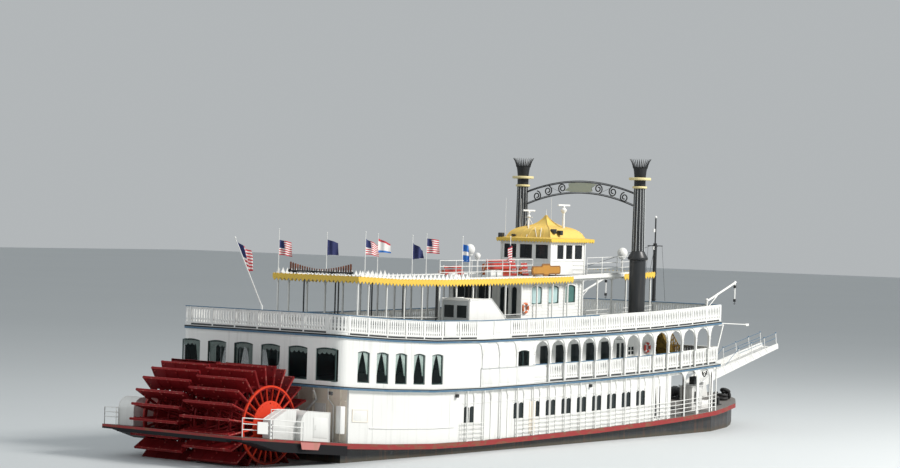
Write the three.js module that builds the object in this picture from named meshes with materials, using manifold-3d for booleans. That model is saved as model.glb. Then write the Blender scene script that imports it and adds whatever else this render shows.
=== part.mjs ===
// A three-deck stern-wheel river steamer, as a scale model at half size.
// All sizes below are metres of the full-size ship: x runs forward from the wheel's shaft,
// y runs to port from the centre line, and z runs up from the water. toModel() at the end
// halves them and turns them into millimetres.
import * as THREE from 'three';
import { mergeVertices } from 'three/addons/utils/BufferGeometryUtils.js';
import Module from 'manifold-3d';

const wasm = await Module();
wasm.setup();

// Driving dimensions
const MM_PER_METRE = 500; // half size
const DRAUGHT = 2.2; // flat bottom below the water
const ORIGIN_X = 24; // the model's origin along the ship
const GAP = 0.0007; // running gap between pieces that rest on each other
const MODULE = 1.643; // pitch of columns, windows and rail posts

const HALF_BEAM = 6.1; // the guard's edge and the upper decks' edges
const SALOON_AFT = 2.95;
const HOUSE_FORE = 42.3; // front edge of the second and third decks
const BOW = 51.2;
const TRANSOM = 3.85;

// Heights above the sheer line, which is the middle of the red guard's edge
const MAIN_TOP = 0.12;
const SECOND = { low: 3.07, top: 3.27 };
const THIRD = { low: 5.89, top: 6.09 };
const ROOF = { low: 9.33, top: 9.47 };
const RAIL_HEIGHT = 1.07;

const WHEEL = { radius: 3.25, height: 2.15, half: 3.72, hub: 1.1, rim: 1.99, shaft: 0.15 };
const ARM = { inner: 4.1, aftOuter: 5.25, aft: -3.82, low: -0.55 };

// Sheer line: x, height above the water
const SHEER = [
  [-4.4, 1.72], [0, 1.33], [4, 1.0], [7.5, 0.78], [11.5, 0.61], [16, 0.57], [21, 0.63],
  [28, 0.75], [34, 0.91], [38, 1.07], [42, 1.28], [46, 1.51], [49, 1.68], [51.6, 1.83],
];

// Colour, roughness and metalness of each finish
const FINISH = {
  white: [0xf1f2ee, 0.55, 0],
  blue: [0x6f8fa6, 0.5, 0],
  black: [0x15181a, 0.5, 0],
  red: [0xc22a22, 0.55, 0],
  darkRed: [0x7c1f22, 0.6, 0],
  beige: [0xb9ad97, 0.7, 0],
  yellow: [0xe8c45c, 0.6, 0],
  gold: [0xc79a2e, 0.35, 0.8],
  grey: [0x9aa0a2, 0.7, 0],
  copper: [0x8d4a32, 0.4, 0.7],
};

const lerpTable = (table, x) => {
  let i = 1;
  while (i < table.length - 1 && table[i][0] < x) i += 1;
  const [x0, v0] = table[i - 1];
  const [x1, v1] = table[i];
  return v0 + ((v1 - v0) * (x - x0)) / (x1 - x0);
};
const sheerAt = (x) => lerpTable(SHEER, x);
// Lift of an unbent piece whose foot covers x0 to x1, so that it rests on the sloping deck
const restOn = (x0, x1) => Math.max(sheerAt(x0), sheerAt(x1)) + GAP;

// Shapes

const triangleGeometry = (triangles) => {
  const geometry = new THREE.BufferGeometry();
  geometry.setAttribute('position', new THREE.Float32BufferAttribute(triangles.flat(2), 3));
  return geometry;
};

const box = (x0, x1, y0, y1, z0, z1) => new THREE.BoxGeometry(x1 - x0, y1 - y0, z1 - z0)
  .translate((x0 + x1) / 2, (y0 + y1) / 2, (z0 + z1) / 2);

// An upright cylinder or cone frustum
const post = (x, y, z0, z1, r0, r1 = r0, sides = 12) => new THREE.CylinderGeometry(r1, r0, z1 - z0, sides)
  .rotateX(Math.PI / 2)
  .translate(x, y, (z0 + z1) / 2);

// A cylinder along y
const crossBar = (x, z, y0, y1, r, sides = 12) => new THREE.CylinderGeometry(r, r, y1 - y0, sides)
  .translate(x, (y0 + y1) / 2, z);

// A straight bar between two points
const bar = (from, to, r, sides = 8) => {
  const a = new THREE.Vector3(...from);
  const b = new THREE.Vector3(...to);
  const along = b.clone().sub(a);
  const turn = new THREE.Quaternion().setFromUnitVectors(new THREE.Vector3(0, 1, 0), along.clone().normalize());
  return new THREE.CylinderGeometry(r, r, along.length(), sides)
    .applyQuaternion(turn)
    .translate((a.x + b.x) / 2, (a.y + b.y) / 2, (a.z + b.z) / 2);
};

// A solid of revolution about an upright axis: profile of [radius, height], from axis to axis
const turned = (x, y, profile, sides = 24) => new THREE.LatheGeometry(
  profile.map(([r, z]) => new THREE.Vector2(r, z)),
  sides,
).rotateX(Math.PI / 2).translate(x, y, 0);

const outline = (points) => new THREE.Shape(points.map(([a, b]) => new THREE.Vector2(a, b)));
const extrude = (shape, depth) => new THREE.ExtrudeGeometry(shape, { depth, bevelEnabled: false, curveSegments: 6 });

// A plate in plan, from z0 to z1
const plate = (shape, z0, z1) => extrude(shape, z1 - z0).translate(0, 0, z0);
// A board whose outline is in x and z, from y0 to y1
const sideBoard = (shape, y0, y1) => extrude(shape, y1 - y0).rotateX(Math.PI / 2).translate(0, y1, 0);
// A board whose outline is in y and z, from x0 to x1
const TO_CROSS = new THREE.Matrix4().set(0, 0, 1, 0, 1, 0, 0, 0, 0, 1, 0, 0, 0, 0, 0, 1);
const crossBoard = (shape, x0, x1) => extrude(shape, x1 - x0).applyMatrix4(TO_CROSS).translate(x0, 0, 0);

// A window or arch outline with a low curved head
const archOutline = (centre, low, width, height, rise) => {
  const half = width / 2;
  const shape = new THREE.Shape();
  shape.moveTo(centre - half, low);
  shape.lineTo(centre + half, low);
  shape.lineTo(centre + half, low + height - rise);
  shape.quadraticCurveTo(centre, low + height + rise, centre - half, low + height - rise);
  shape.closePath();
  return shape;
};

// Joins sections of equal point counts into one closed solid
const loft = (sections) => {
  const triangles = [];
  const count = sections[0].length;
  for (let i = 0; i < sections.length - 1; i += 1) {
    for (let j = 0; j < count; j += 1) {
      const k = (j + 1) % count;
      const [a, b, c, d] = [sections[i][j], sections[i][k], sections[i + 1][k], sections[i + 1][j]];
      triangles.push([a, b, c], [a, c, d]);
    }
  }
  const last = sections[sections.length - 1];
  for (let j = 1; j < count - 1; j += 1) {
    triangles.push([sections[0][0], sections[0][j + 1], sections[0][j]]);
    triangles.push([last[0], last[j], last[j + 1]]);
  }
  return triangleGeometry(triangles);
};

// Solids: joining and cutting

const toSolid = (geometry) => {
  const bare = geometry.clone();
  bare.deleteAttribute('normal');
  bare.deleteAttribute('uv');
  const merged = mergeVertices(bare, 1e-5);
  return new wasm.Manifold(new wasm.Mesh({
    numProp: 3,
    vertProperties: merged.attributes.position.array,
    triVerts: new Uint32Array(merged.index.array),
  }));
};
const asSolid = (item) => (item.isBufferGeometry ? toSolid(item) : item);
const fuse = (items) => items.map(asSolid).reduce((whole, next) => whole.add(next));
const cut = (item, tools) => tools.map(asSolid).reduce((rest, tool) => rest.subtract(tool), asSolid(item));

const toTriangles = (item) => {
  const triangles = [];
  if (item.isBufferGeometry) {
    const flat = item.index ? item.toNonIndexed() : item;
    const p = flat.attributes.position.array;
    for (let i = 0; i < p.length; i += 9) {
      triangles.push([0, 3, 6].map((k) => [p[i + k], p[i + k + 1], p[i + k + 2]]));
    }
    const same = (a, b) => a.every((value, k) => Math.abs(value - b[k]) < 1e-6);
    return triangles.filter(([a, b, c]) => !same(a, b) && !same(b, c) && !same(c, a));
  }
  const mesh = item.getMesh();
  const corner = (v) => [0, 1, 2].map((k) => mesh.vertProperties[v * mesh.numProp + k]);
  for (let i = 0; i < mesh.triVerts.length; i += 3) {
    triangles.push([0, 1, 2].map((k) => corner(mesh.triVerts[i + k])));
  }
  return triangles;
};

// Splits triangles along the plane x = at, so that a bend there stays on an edge
const splitAt = (triangles, at) => {
  const near = 1e-6;
  const crossing = (a, b) => {
    const [p, q] = a[0] < b[0] ? [a, b] : [b, a];
    const t = (at - p[0]) / (q[0] - p[0]);
    return [at, p[1] + t * (q[1] - p[1]), p[2] + t * (q[2] - p[2])];
  };
  return triangles.flatMap((triangle) => {
    const side = triangle.map(([x]) => (Math.abs(x - at) < near ? 0 : Math.sign(x - at)));
    if (!(side.includes(1) && side.includes(-1))) return [triangle];
    const lone = side.findIndex((s, i) => s !== 0 && side.every((o, j) => j === i || o !== s));
    const [a, b, c] = [0, 1, 2].map((k) => triangle[(lone + k) % 3]);
    const [sb, sc] = [1, 2].map((k) => side[(lone + k) % 3]);
    if (sb === 0) {
      const m = crossing(a, c);
      return [[a, b, m], [m, b, c]];
    }
    if (sc === 0) {
      const m = crossing(a, b);
      return [[a, m, c], [m, b, c]];
    }
    const m = crossing(a, b);
    const n = crossing(a, c);
    return [[a, m, n], [m, b, c], [m, c, n]];
  });
};

// Lifts a flat-built piece onto the sheer line
const sheered = (item) => {
  let triangles = toTriangles(item);
  SHEER.forEach(([at]) => { triangles = splitAt(triangles, at); });
  return triangleGeometry(triangles.map((t) => t.map(([x, y, z]) => [x, y, z + sheerAt(x)])));
};

// Sections across the ship along a plan outline, lifted onto the sheer line
const sheeredPlate = (rows, low, top) => {
  const first = rows[0][0];
  const last = rows[rows.length - 1][0];
  const knots = SHEER.map(([x]) => x).filter((x) => x > first && x < last);
  const stations = [...new Set([...rows.map(([x]) => x), ...knots])].sort((a, b) => a - b);
  return loft(stations.map((x) => {
    const lift = sheerAt(x);
    const [starboard, port] = [1, 2].map((k) => lerpTable(rows.map((row) => [row[0], row[k]]), x));
    return [[x, starboard, low + lift], [x, port, low + lift], [x, port, top + lift], [x, starboard, top + lift]];
  }));
};

// Adds a point wherever an outline crosses a bend of the sheer line, and lifts every point
const bent = (points) => {
  const open = points.filter(([x, z], i) => {
    const [nx, nz] = points[(i + 1) % points.length];
    return Math.hypot(nx - x, nz - z) > 1e-6;
  });
  return open.flatMap((from, i) => {
    const to = open[(i + 1) % open.length];
    const bends = SHEER.map(([x]) => x).filter((x) => (x - from[0]) * (x - to[0]) < -1e-9);
    if (to[0] < from[0]) bends.reverse();
    return [from, ...bends.map((x) => [x, from[1] + ((to[1] - from[1]) * (x - from[0])) / (to[0] - from[0])])];
  }).map(([x, z]) => [x, z + sheerAt(x)]);
};

// An upright board along the ship that follows the sheer line. Openings reach its foot and
// windows don't: both are lists of [x, z] points, openings from aft to fore.
const sheeredBoard = ({ aft, fore, low, top }, openings, windows, y0, y1) => {
  const shape = outline(bent([[aft, low], ...openings.flat(), [fore, low], [fore, top], [aft, top]]));
  shape.holes = windows.map((points) => outline(bent(points)));
  return sideBoard(shape, y0, y1);
};
const rectangle = (x0, x1, z0, z1) => [[x0, z0], [x0, z1], [x1, z1], [x1, z0]];
const pointsOf = (shape) => shape.getPoints(4).map(({ x, y }) => [x, y]);
const everyModule = (first, count, make) => Array.from({ length: count }, (_, i) => make(first + i * MODULE));

// Scene graph

const steamer = new THREE.Group();
const TO_MODEL = new THREE.Matrix4().makeTranslation(-ORIGIN_X, 0, DRAUGHT)
  .premultiply(new THREE.Matrix4().makeScale(MM_PER_METRE, MM_PER_METRE, MM_PER_METRE));

const materials = Object.fromEntries(Object.entries(FINISH).map(([name, [color, roughness, metalness]]) => [
  name, new THREE.MeshStandardMaterial({ color, roughness, metalness }),
]));

const piece = (name, item, finish) => {
  const geometry = triangleGeometry(toTriangles(item)).applyMatrix4(TO_MODEL);
  geometry.computeVertexNormals();
  const mesh = new THREE.Mesh(geometry, materials[finish]);
  mesh.name = name;
  steamer.add(mesh);
};

// Builds the same piece on both sides; make(side) gets -1 for starboard and 1 for port
const bothSides = (name, make, finish) => {
  [['starboard', -1], ['port', 1]].forEach(([label, side]) => piece(`${name}_${label}`, make(side), finish));
};
const spanY = (side, inner, outer) => (side > 0 ? [inner, outer] : [-outer, -inner]);

// Hull

const HULL = [
  // x, half breadth at deck, half breadth at bottom, bottom
  [3.85, 5.6, 5.2, -0.8],
  [7.5, 5.7, 5.4, -0.8],
  [11.5, 5.75, 5.5, -1.9],
  [14, 5.8, 5.6, -2.2],
  [38, 5.8, 5.5, -2.2],
  [42, 5.65, 4.9, -2.0],
  [46, 4.4, 3.3, -1.3],
  [49, 2.9, 1.8, -0.3],
  [50.6, 1.4, 0.7, 0.5],
];
const RUDDER = { x: 5.55, y: 3.1, stock: 0.08, head: 0.35 };
const DECK_UNDER = -0.18;

const hull = () => {
  const column = (k) => HULL.map((row) => [row[0], row[k]]);
  const stations = [...new Set([...HULL.map(([x]) => x), ...SHEER.map(([x]) => x)])]
    .filter((x) => x >= HULL[0][0] && x <= 50.6)
    .sort((a, b) => a - b);
  const sections = stations.map((x) => {
    const deck = lerpTable(column(1), x);
    const floor = lerpTable(column(2), x);
    const low = lerpTable(column(3), x);
    const top = sheerAt(x) + DECK_UNDER - GAP;
    const bilge = Math.min(low + 0.5, top - 0.2);
    return [
      [x, -floor, low], [x, floor, low], [x, deck, bilge], [x, deck, top], [x, -deck, top], [x, -deck, bilge],
    ];
  });
  const shell = loft(sections);
  const bores = [-1, 1].map((side) => post(RUDDER.x, side * RUDDER.y, -1, -0.8 + RUDDER.head,
    RUDDER.stock + 0.0011, RUDDER.stock + 0.0011, 32));
  return cut(shell, bores);
};
piece('hull', hull(), 'black');

const GUARD = [
  // x, half breadth
  [TRANSOM, HALF_BEAM], [40, 6.1], [42.1, 5.99], [43.9, 5.56], [46.5, 4.76], [48.8, 3.31], [50.4, 1.7], [BOW, 0.6],
];
piece('main_deck', sheeredPlate(GUARD.map(([x, y]) => [x, -y, y]), DECK_UNDER, MAIN_TOP), 'darkRed');

// Stern frame that carries the wheel

const BEARING = { half: 0.45, top: 2.6, inner: 4.42, outer: 4.94 };
const journalBore = WHEEL.shaft + 0.0018;
const wheelArm = (side) => {
  const rows = [[ARM.aft, ARM.aftOuter], [TRANSOM - GAP, HALF_BEAM]]
    .map(([x, outer]) => [x, ...spanY(side, ARM.inner, outer)]);
  const rake = sheered(sideBoard(
    outline([[ARM.aft - 0.4, ARM.low - 1], [-1, ARM.low - 1], [-1, ARM.low], [-3.1, -0.12], [ARM.aft - 0.4, -0.12]]),
    ...spanY(side, ARM.inner - 1, ARM.aftOuter + 1),
  ));
  const arm = cut(sheeredPlate(rows, ARM.low, MAIN_TOP), [rake]);
  const [y0, y1] = spanY(side, BEARING.inner, BEARING.outer);
  const block = box(-BEARING.half, BEARING.half, y0, y1, 1.2, BEARING.top);
  const bore = crossBar(0, WHEEL.height, ...spanY(side, ARM.inner - 0.5, BEARING.outer - 0.1), journalBore, 32);
  return cut(fuse([arm, block]), [bore]);
};
bothSides('wheel_arm', wheelArm, 'darkRed');
const armInner = ARM.inner - GAP;
piece('stern_beam', sheered(box(ARM.aft, ARM.aft + 0.4, -armInner, armInner, -0.22, MAIN_TOP)), 'darkRed');

// Round-shouldered boxes beside the wheel. The port box is longer and also covers its bearing.
const BOX = { aft: 0.72, portAft: -2.45, fore: 3.2, inner: 4.2, outer: 5.38, height: 1.62, round: 0.75 };
const wheelBox = (side) => {
  const low = MAIN_TOP + GAP;
  const top = MAIN_TOP + BOX.height;
  const aft = side > 0 ? BOX.portAft : BOX.aft;
  const shape = new THREE.Shape();
  shape.moveTo(aft, low);
  shape.lineTo(BOX.fore, low);
  shape.lineTo(BOX.fore, top);
  shape.lineTo(aft + BOX.round, top);
  shape.absarc(aft + BOX.round, top - BOX.round, BOX.round, Math.PI / 2, Math.PI, false);
  shape.closePath();
  const cover = sideBoard(outline(bent(pointsOf(shape))), ...spanY(side, BOX.inner, BOX.outer));
  if (side < 0) return cover;
  const shaftSlot = box(-0.3, 0.3, BOX.inner - 0.1, BEARING.inner, 0, WHEEL.height + 0.3);
  const bearingRoom = box(-0.65, 0.65, BOX.inner + 0.12, BEARING.outer + 0.1, 0, BEARING.top + 0.12);
  return cut(cover, [shaftSlot, bearingRoom]);
};
bothSides('wheel_box', wheelBox, 'white');

// Paddle wheel: two halves, staggered by half a bucket, each with two spoked frames

const BUCKETS = 24;
const FRAME_THICK = 0.12;
const wheelFrame = (y, stagger) => {
  const { radius, hub, rim } = WHEEL;
  const pitch = (2 * Math.PI) / BUCKETS;
  const armHalf = 0.055;
  const polar = (r, a, off) => [r * Math.sin(a) + off * Math.cos(a), r * Math.cos(a) - off * Math.sin(a)];
  const edge = [];
  const rimOut = rim + 0.14;
  for (let i = 0; i < BUCKETS; i += 1) {
    const a = -(i * pitch + stagger);
    edge.push(polar(rimOut, a, armHalf), polar(radius, a, armHalf), polar(radius, a, -armHalf),
      polar(rimOut, a, -armHalf));
  }
  const shape = outline(edge);
  for (let i = 0; i < BUCKETS; i += 1) {
    const a = -(i * pitch + stagger);
    const b = a - pitch;
    shape.holes.push(outline([
      polar(hub, a, -armHalf), polar(rim, a, -armHalf), polar(rim, b, armHalf), polar(hub, b, armHalf),
    ].reverse()));
  }
  return sideBoard(shape, y - FRAME_THICK / 2, y + FRAME_THICK / 2).translate(0, 0, WHEEL.height);
};
const BUCKET = { inner: 2.36, thick: 0.07 };
const wheelHalf = (side) => {
  const stagger = side > 0 ? 0 : (Math.PI / BUCKETS);
  const outerY = side * (WHEEL.half - FRAME_THICK / 2);
  const innerY = side * 0.12;
  const parts = [wheelFrame(outerY, stagger), wheelFrame(innerY, stagger)];
  const length = Math.abs(outerY - innerY);
  for (let i = 0; i < BUCKETS; i += 1) {
    const bucket = new THREE.BoxGeometry(BUCKET.thick, length, WHEEL.radius - BUCKET.inner - 0.01)
      .translate(0, (outerY + innerY) / 2, (WHEEL.radius + BUCKET.inner) / 2)
      .rotateY(i * 2 * Math.PI / BUCKETS + stagger)
      .translate(0, 0, WHEEL.height);
    parts.push(bucket);
  }
  parts.push(crossBar(0, WHEEL.height, ...spanY(side, 0.0004, WHEEL.half + 0.1), 0.3, 24));
  parts.push(crossBar(0, WHEEL.height, ...spanY(side, 1, BEARING.outer - 0.15), WHEEL.shaft, 32));
  return fuse(parts);
};
bothSides('paddle_wheel', wheelHalf, 'red');

// Rudders under the stern rake
const rudder = (side) => {
  const y = side * RUDDER.y;
  const blade = sideBoard(outline([
    [RUDDER.x - 1.55, -1.95], [RUDDER.x + 0.5, -1.95], [RUDDER.x + 0.5, -0.95], [RUDDER.x - 1.4, -0.95],
  ]), y - 0.05, y + 0.05);
  return fuse([blade, post(RUDDER.x, y, -1.7, -0.8 + RUDDER.head - GAP, RUDDER.stock, RUDDER.stock, 32)]);
};
bothSides('rudder', rudder, 'darkRed');

// Main deck house

const WALL = 0.12;
const MAIN_HOUSE = { aft: TRANSOM + 0.25, fore: 36.6, half: 5.9 };
const MAIN_WALL = { low: MAIN_TOP + GAP, top: SECOND.low - GAP };
const MAIN_WINDOWS = { first: 19.93, count: 9, low: MAIN_TOP + 1.05, width: 1.08, height: 1.04 };
const BOW_COLUMNS = { count: 3, width: 0.16, beam: 0.2, fore: 41.7 };
const mainWall = (side) => {
  const bay = (BOW_COLUMNS.fore - MAIN_HOUSE.fore) / BOW_COLUMNS.count;
  const bays = [0, 1, 2].map((i) => {
    const x = MAIN_HOUSE.fore + i * bay;
    return rectangle(x, x + bay - BOW_COLUMNS.width, MAIN_WALL.low, MAIN_WALL.top - BOW_COLUMNS.beam);
  });
  const windows = everyModule(MAIN_WINDOWS.first, MAIN_WINDOWS.count, (x) => rectangle(
    x - MAIN_WINDOWS.width / 2,
    x + MAIN_WINDOWS.width / 2,
    MAIN_WINDOWS.low,
    MAIN_WINDOWS.low + MAIN_WINDOWS.height,
  ));
  return sheeredBoard({ aft: MAIN_HOUSE.aft, fore: BOW_COLUMNS.fore, low: MAIN_WALL.low, top: MAIN_WALL.top },
    bays, windows, ...spanY(side, MAIN_HOUSE.half - WALL, MAIN_HOUSE.half));
};
bothSides('main_wall', mainWall, 'white');
const mainInner = MAIN_HOUSE.half - WALL - GAP;
piece('engine_bulkhead', sheered(box(MAIN_HOUSE.aft, MAIN_HOUSE.aft + WALL, -mainInner, mainInner,
  MAIN_WALL.low, MAIN_WALL.top)), 'beige');
piece('main_wall_front', sheered(box(MAIN_HOUSE.fore - WALL, MAIN_HOUSE.fore, -mainInner, mainInner,
  MAIN_WALL.low, MAIN_WALL.top)), 'white');

// Second and third decks

const deckOutline = (half, aft, fore, round) => {
  const shape = new THREE.Shape();
  shape.moveTo(fore, -half);
  shape.lineTo(fore, half);
  shape.lineTo(aft + round, half);
  shape.absarc(aft + round, half - round, round, Math.PI / 2, Math.PI, false);
  shape.lineTo(aft, -half + round);
  shape.absarc(aft + round, -half + round, round, Math.PI, 1.5 * Math.PI, false);
  shape.closePath();
  return shape;
};
const CORNER = 0.8;
const cornerRows = [0, 1, 2, 3, 4, 5].map((i) => {
  const turn = (i * Math.PI) / 10;
  const round = CORNER + 0.08;
  return [SALOON_AFT - 0.08 + round * (1 - Math.cos(turn)), HALF_BEAM - round * (1 - Math.sin(turn))];
});
const deckRows = [...cornerRows, [HOUSE_FORE, HALF_BEAM]].map(([x, y]) => [x, -y, y]);
piece('second_deck', sheeredPlate(deckRows, SECOND.low, SECOND.top), 'blue');
piece('third_deck', sheeredPlate(deckRows, THIRD.low, THIRD.top), 'blue');

// Saloon on the second deck
const SALOON = { half: 6.02, corner: SALOON_AFT + CORNER + 0.1, fore: 21.2 };
const SALOON_WALL = { low: SECOND.top + GAP, top: THIRD.low - GAP };
const STERN_WINDOW = { pitch: 2.04, width: 1.42, low: SECOND.top + 0.2, height: 1.85 };
const SIDE_WINDOW = { first: 5.15, pitch: 1.66, count: 5, width: 1.04, low: SECOND.top + 0.24, height: 1.76 };
const ARCH_RISE = 0.09;

const saloonStern = () => {
  const outer = deckOutline(SALOON.half, SALOON_AFT, SALOON.corner - GAP, CORNER);
  const inner = deckOutline(SALOON.half - WALL, SALOON_AFT + WALL, SALOON.corner + 1, CORNER - WALL);
  const shell = cut(plate(outer, SALOON_WALL.low, SALOON_WALL.top), [plate(inner, SALOON_WALL.low - 1, SALOON_WALL.top + 1)]);
  const windows = [-2.5, -1.5, -0.5, 0.5, 1.5, 2.5].map((k) => crossBoard(
    archOutline(k * STERN_WINDOW.pitch, STERN_WINDOW.low, STERN_WINDOW.width, STERN_WINDOW.height, ARCH_RISE),
    SALOON_AFT - 0.5,
    SALOON_AFT + 0.5,
  ));
  return sheered(cut(shell, windows));
};
piece('saloon_wall_stern', saloonStern(), 'white');

const saloonSide = (side) => {
  const windows = Array.from({ length: SIDE_WINDOW.count }, (_, i) => archOutline(
    SIDE_WINDOW.first + i * SIDE_WINDOW.pitch,
    SIDE_WINDOW.low,
    SIDE_WINDOW.width,
    SIDE_WINDOW.height,
    ARCH_RISE,
  ));
  windows.push(archOutline(20.15, SECOND.top + 1.04, 1.1, 1.0, ARCH_RISE));
  return sheeredBoard({ aft: SALOON.corner, fore: SALOON.fore, low: SALOON_WALL.low, top: SALOON_WALL.top },
    [], windows.map(pointsOf), ...spanY(side, SALOON.half - WALL, SALOON.half));
};
bothSides('saloon_wall', saloonSide, 'white');

// Lounge: the recessed forward walls of the second deck, behind an arcade of columns
const ARCADE = { first: 21.25, count: 13, y: 5.93, thick: 0.1, spring: 1.75 };
const LOUNGE = { half: 4.6, aft: SALOON.fore + GAP, fore: 36.6 };
const LOUNGE_WINDOW = { first: 24.3, count: 5, width: 1.08, low: SECOND.top + 0.35, height: 1.75 };
const LOUNGE_DOOR = { aft: 31.95, fore: 33.05, height: 2.15 };
const loungeWall = (side) => {
  const windows = everyModule(LOUNGE_WINDOW.first, LOUNGE_WINDOW.count, (x) => rectangle(
    x - LOUNGE_WINDOW.width / 2,
    x + LOUNGE_WINDOW.width / 2,
    LOUNGE_WINDOW.low,
    LOUNGE_WINDOW.low + LOUNGE_WINDOW.height,
  ));
  const door = rectangle(LOUNGE_DOOR.aft, LOUNGE_DOOR.fore, SALOON_WALL.low, SECOND.top + LOUNGE_DOOR.height);
  const wall = sheeredBoard({ aft: LOUNGE.aft, fore: LOUNGE.fore, low: SALOON_WALL.low, top: SALOON_WALL.top },
    [door], windows, ...spanY(side, LOUNGE.half - WALL, LOUNGE.half));
  const returnWall = sheered(box(LOUNGE.aft, LOUNGE.aft + WALL,
    ...spanY(side, LOUNGE.half - 0.05, ARCADE.y - ARCADE.thick / 2 - GAP), SALOON_WALL.low, SALOON_WALL.top));
  return fuse([wall, returnWall]);
};
bothSides('lounge_wall', loungeWall, 'white');
const loungeInner = LOUNGE.half - WALL - GAP;
const loungeFront = () => {
  const wall = box(LOUNGE.fore - WALL, LOUNGE.fore, -loungeInner, loungeInner, SALOON_WALL.low, SALOON_WALL.top);
  const windows = [-3.1, -1.9, 1.9, 3.1].map((y) => box(LOUNGE.fore - 1, LOUNGE.fore + 1, y - 0.45, y + 0.45,
    SECOND.top + 0.7, SECOND.top + 2.1));
  return sheered(cut(wall, windows));
};
piece('lounge_wall_front', loungeFront(), 'white');

// Doors of the lounge, one a side, hinged at their forward edge
const DOOR = { gap: 0.012, thick: 0.05 };
const loungeDoor = (side) => {
  const floor = restOn(LOUNGE_DOOR.aft, LOUNGE_DOOR.fore) + SECOND.top;
  const head = sheerAt(LOUNGE_DOOR.aft) + SECOND.top + LOUNGE_DOOR.height;
  return box(LOUNGE_DOOR.aft + DOOR.gap, LOUNGE_DOOR.fore - GAP,
    ...spanY(side, LOUNGE.half - DOOR.thick, LOUNGE.half), floor + DOOR.gap, head - DOOR.gap);
};
bothSides('lounge_door', loungeDoor, 'white');

// Arcade of columns along the open side decks
const arcade = (side) => {
  const top = SALOON_WALL.top;
  const spring = SECOND.top + ARCADE.spring;
  const half = MODULE / 2 - 0.065;
  const arches = everyModule(ARCADE.first + MODULE / 2, ARCADE.count - 1, (centre) => {
    const shape = new THREE.Shape();
    shape.moveTo(centre - half, SALOON_WALL.low);
    shape.lineTo(centre - half, spring);
    shape.quadraticCurveTo(centre - half + 0.05, top - 0.2, centre, top - 0.1);
    shape.quadraticCurveTo(centre + half - 0.05, top - 0.2, centre + half, spring);
    shape.lineTo(centre + half, SALOON_WALL.low);
    return pointsOf(shape);
  });
  const fore = ARCADE.first + (ARCADE.count - 1) * MODULE + 0.06;
  return sheeredBoard({ aft: SALOON.fore + GAP, fore, low: SALOON_WALL.low, top }, arches, [],
    ...spanY(side, ARCADE.y - ARCADE.thick / 2, ARCADE.y + ARCADE.thick / 2));
};
bothSides('arcade', arcade, 'white');

// Railings: boards of posts with a foot rail and a cap rail
const RAIL = { thick: 0.07, post: 0.1, foot: 0.2, cap: 0.07 };
const railBays = (from, to, low) => {
  const count = Math.round((to - from) / MODULE);
  const bay = (to - from - RAIL.post) / count;
  return Array.from({ length: count }, (_, i) => {
    const x = from + RAIL.post + i * bay;
    return rectangle(x, x + bay - RAIL.post, low + RAIL.foot, low + RAIL_HEIGHT - RAIL.cap);
  });
};
const railAlongX = (x0, x1, y, deck) => sheeredBoard(
  { aft: x0, fore: x1, low: deck + GAP, top: deck + RAIL_HEIGHT },
  [],
  railBays(x0, x1, deck),
  y - RAIL.thick / 2,
  y + RAIL.thick / 2,
);
const railAlongY = (x, y0, y1, deck) => {
  const half = RAIL.thick / 2;
  const bays = railBays(y0, y1, deck).map(([[a, low], , [b, top]]) => box(x - 1, x + 1, a, b, low, top));
  return sheered(cut(box(x - half, x + half, y0, y1, deck + GAP, deck + RAIL_HEIGHT), bays));
};
const RAIL_Y = 6.0;
const RAIL_FRONT = HOUSE_FORE - 0.1;
const SECOND_RAIL_AFT = SALOON.fore + WALL + 2 * GAP;
bothSides('second_rail', (side) => railAlongX(SECOND_RAIL_AFT, RAIL_FRONT - 0.06, side * 5.8, SECOND.top), 'white');
piece('second_rail_front', railAlongY(RAIL_FRONT, -5.86, 5.86, SECOND.top), 'white');

// The stern rail turns both corners of the third deck in a quarter circle
const TURN = { x: SALOON_AFT + 0.8, y: 5.22, radius: RAIL_Y - 5.22 };
const THIRD_RAIL_AFT = TURN.x - TURN.radius;
bothSides('third_rail', (side) => railAlongX(TURN.x + GAP, RAIL_FRONT - 0.06, side * RAIL_Y, THIRD.top), 'white');
const railTurn = (side) => {
  const ring = (from, to, margin, low, top) => {
    const arc = (radius) => Array.from({ length: 7 }, (_, i) => {
      const turn = from + ((to - from) * i) / 6;
      return [TURN.x - radius * Math.cos(turn), side * (TURN.y + radius * Math.sin(turn))];
    });
    const half = RAIL.thick / 2 + margin;
    return plate(outline([...arc(TURN.radius + half), ...arc(TURN.radius - half).reverse()]), low, top);
  };
  const whole = ring(-0.02, Math.PI / 2, 0, THIRD.top + GAP, THIRD.top + RAIL_HEIGHT);
  const opening = ring(0.12, Math.PI / 2 - 0.12, 0.5, THIRD.top + RAIL.foot, THIRD.top + RAIL_HEIGHT - RAIL.cap);
  return sheered(cut(whole, [opening]));
};
piece('third_rail_stern', fuse([
  railAlongY(THIRD_RAIL_AFT, -TURN.y, TURN.y, THIRD.top), railTurn(-1), railTurn(1),
]), 'white');
piece('third_rail_front', railAlongY(RAIL_FRONT, -RAIL_Y - 0.05, RAIL_Y + 0.05, THIRD.top), 'white');

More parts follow.
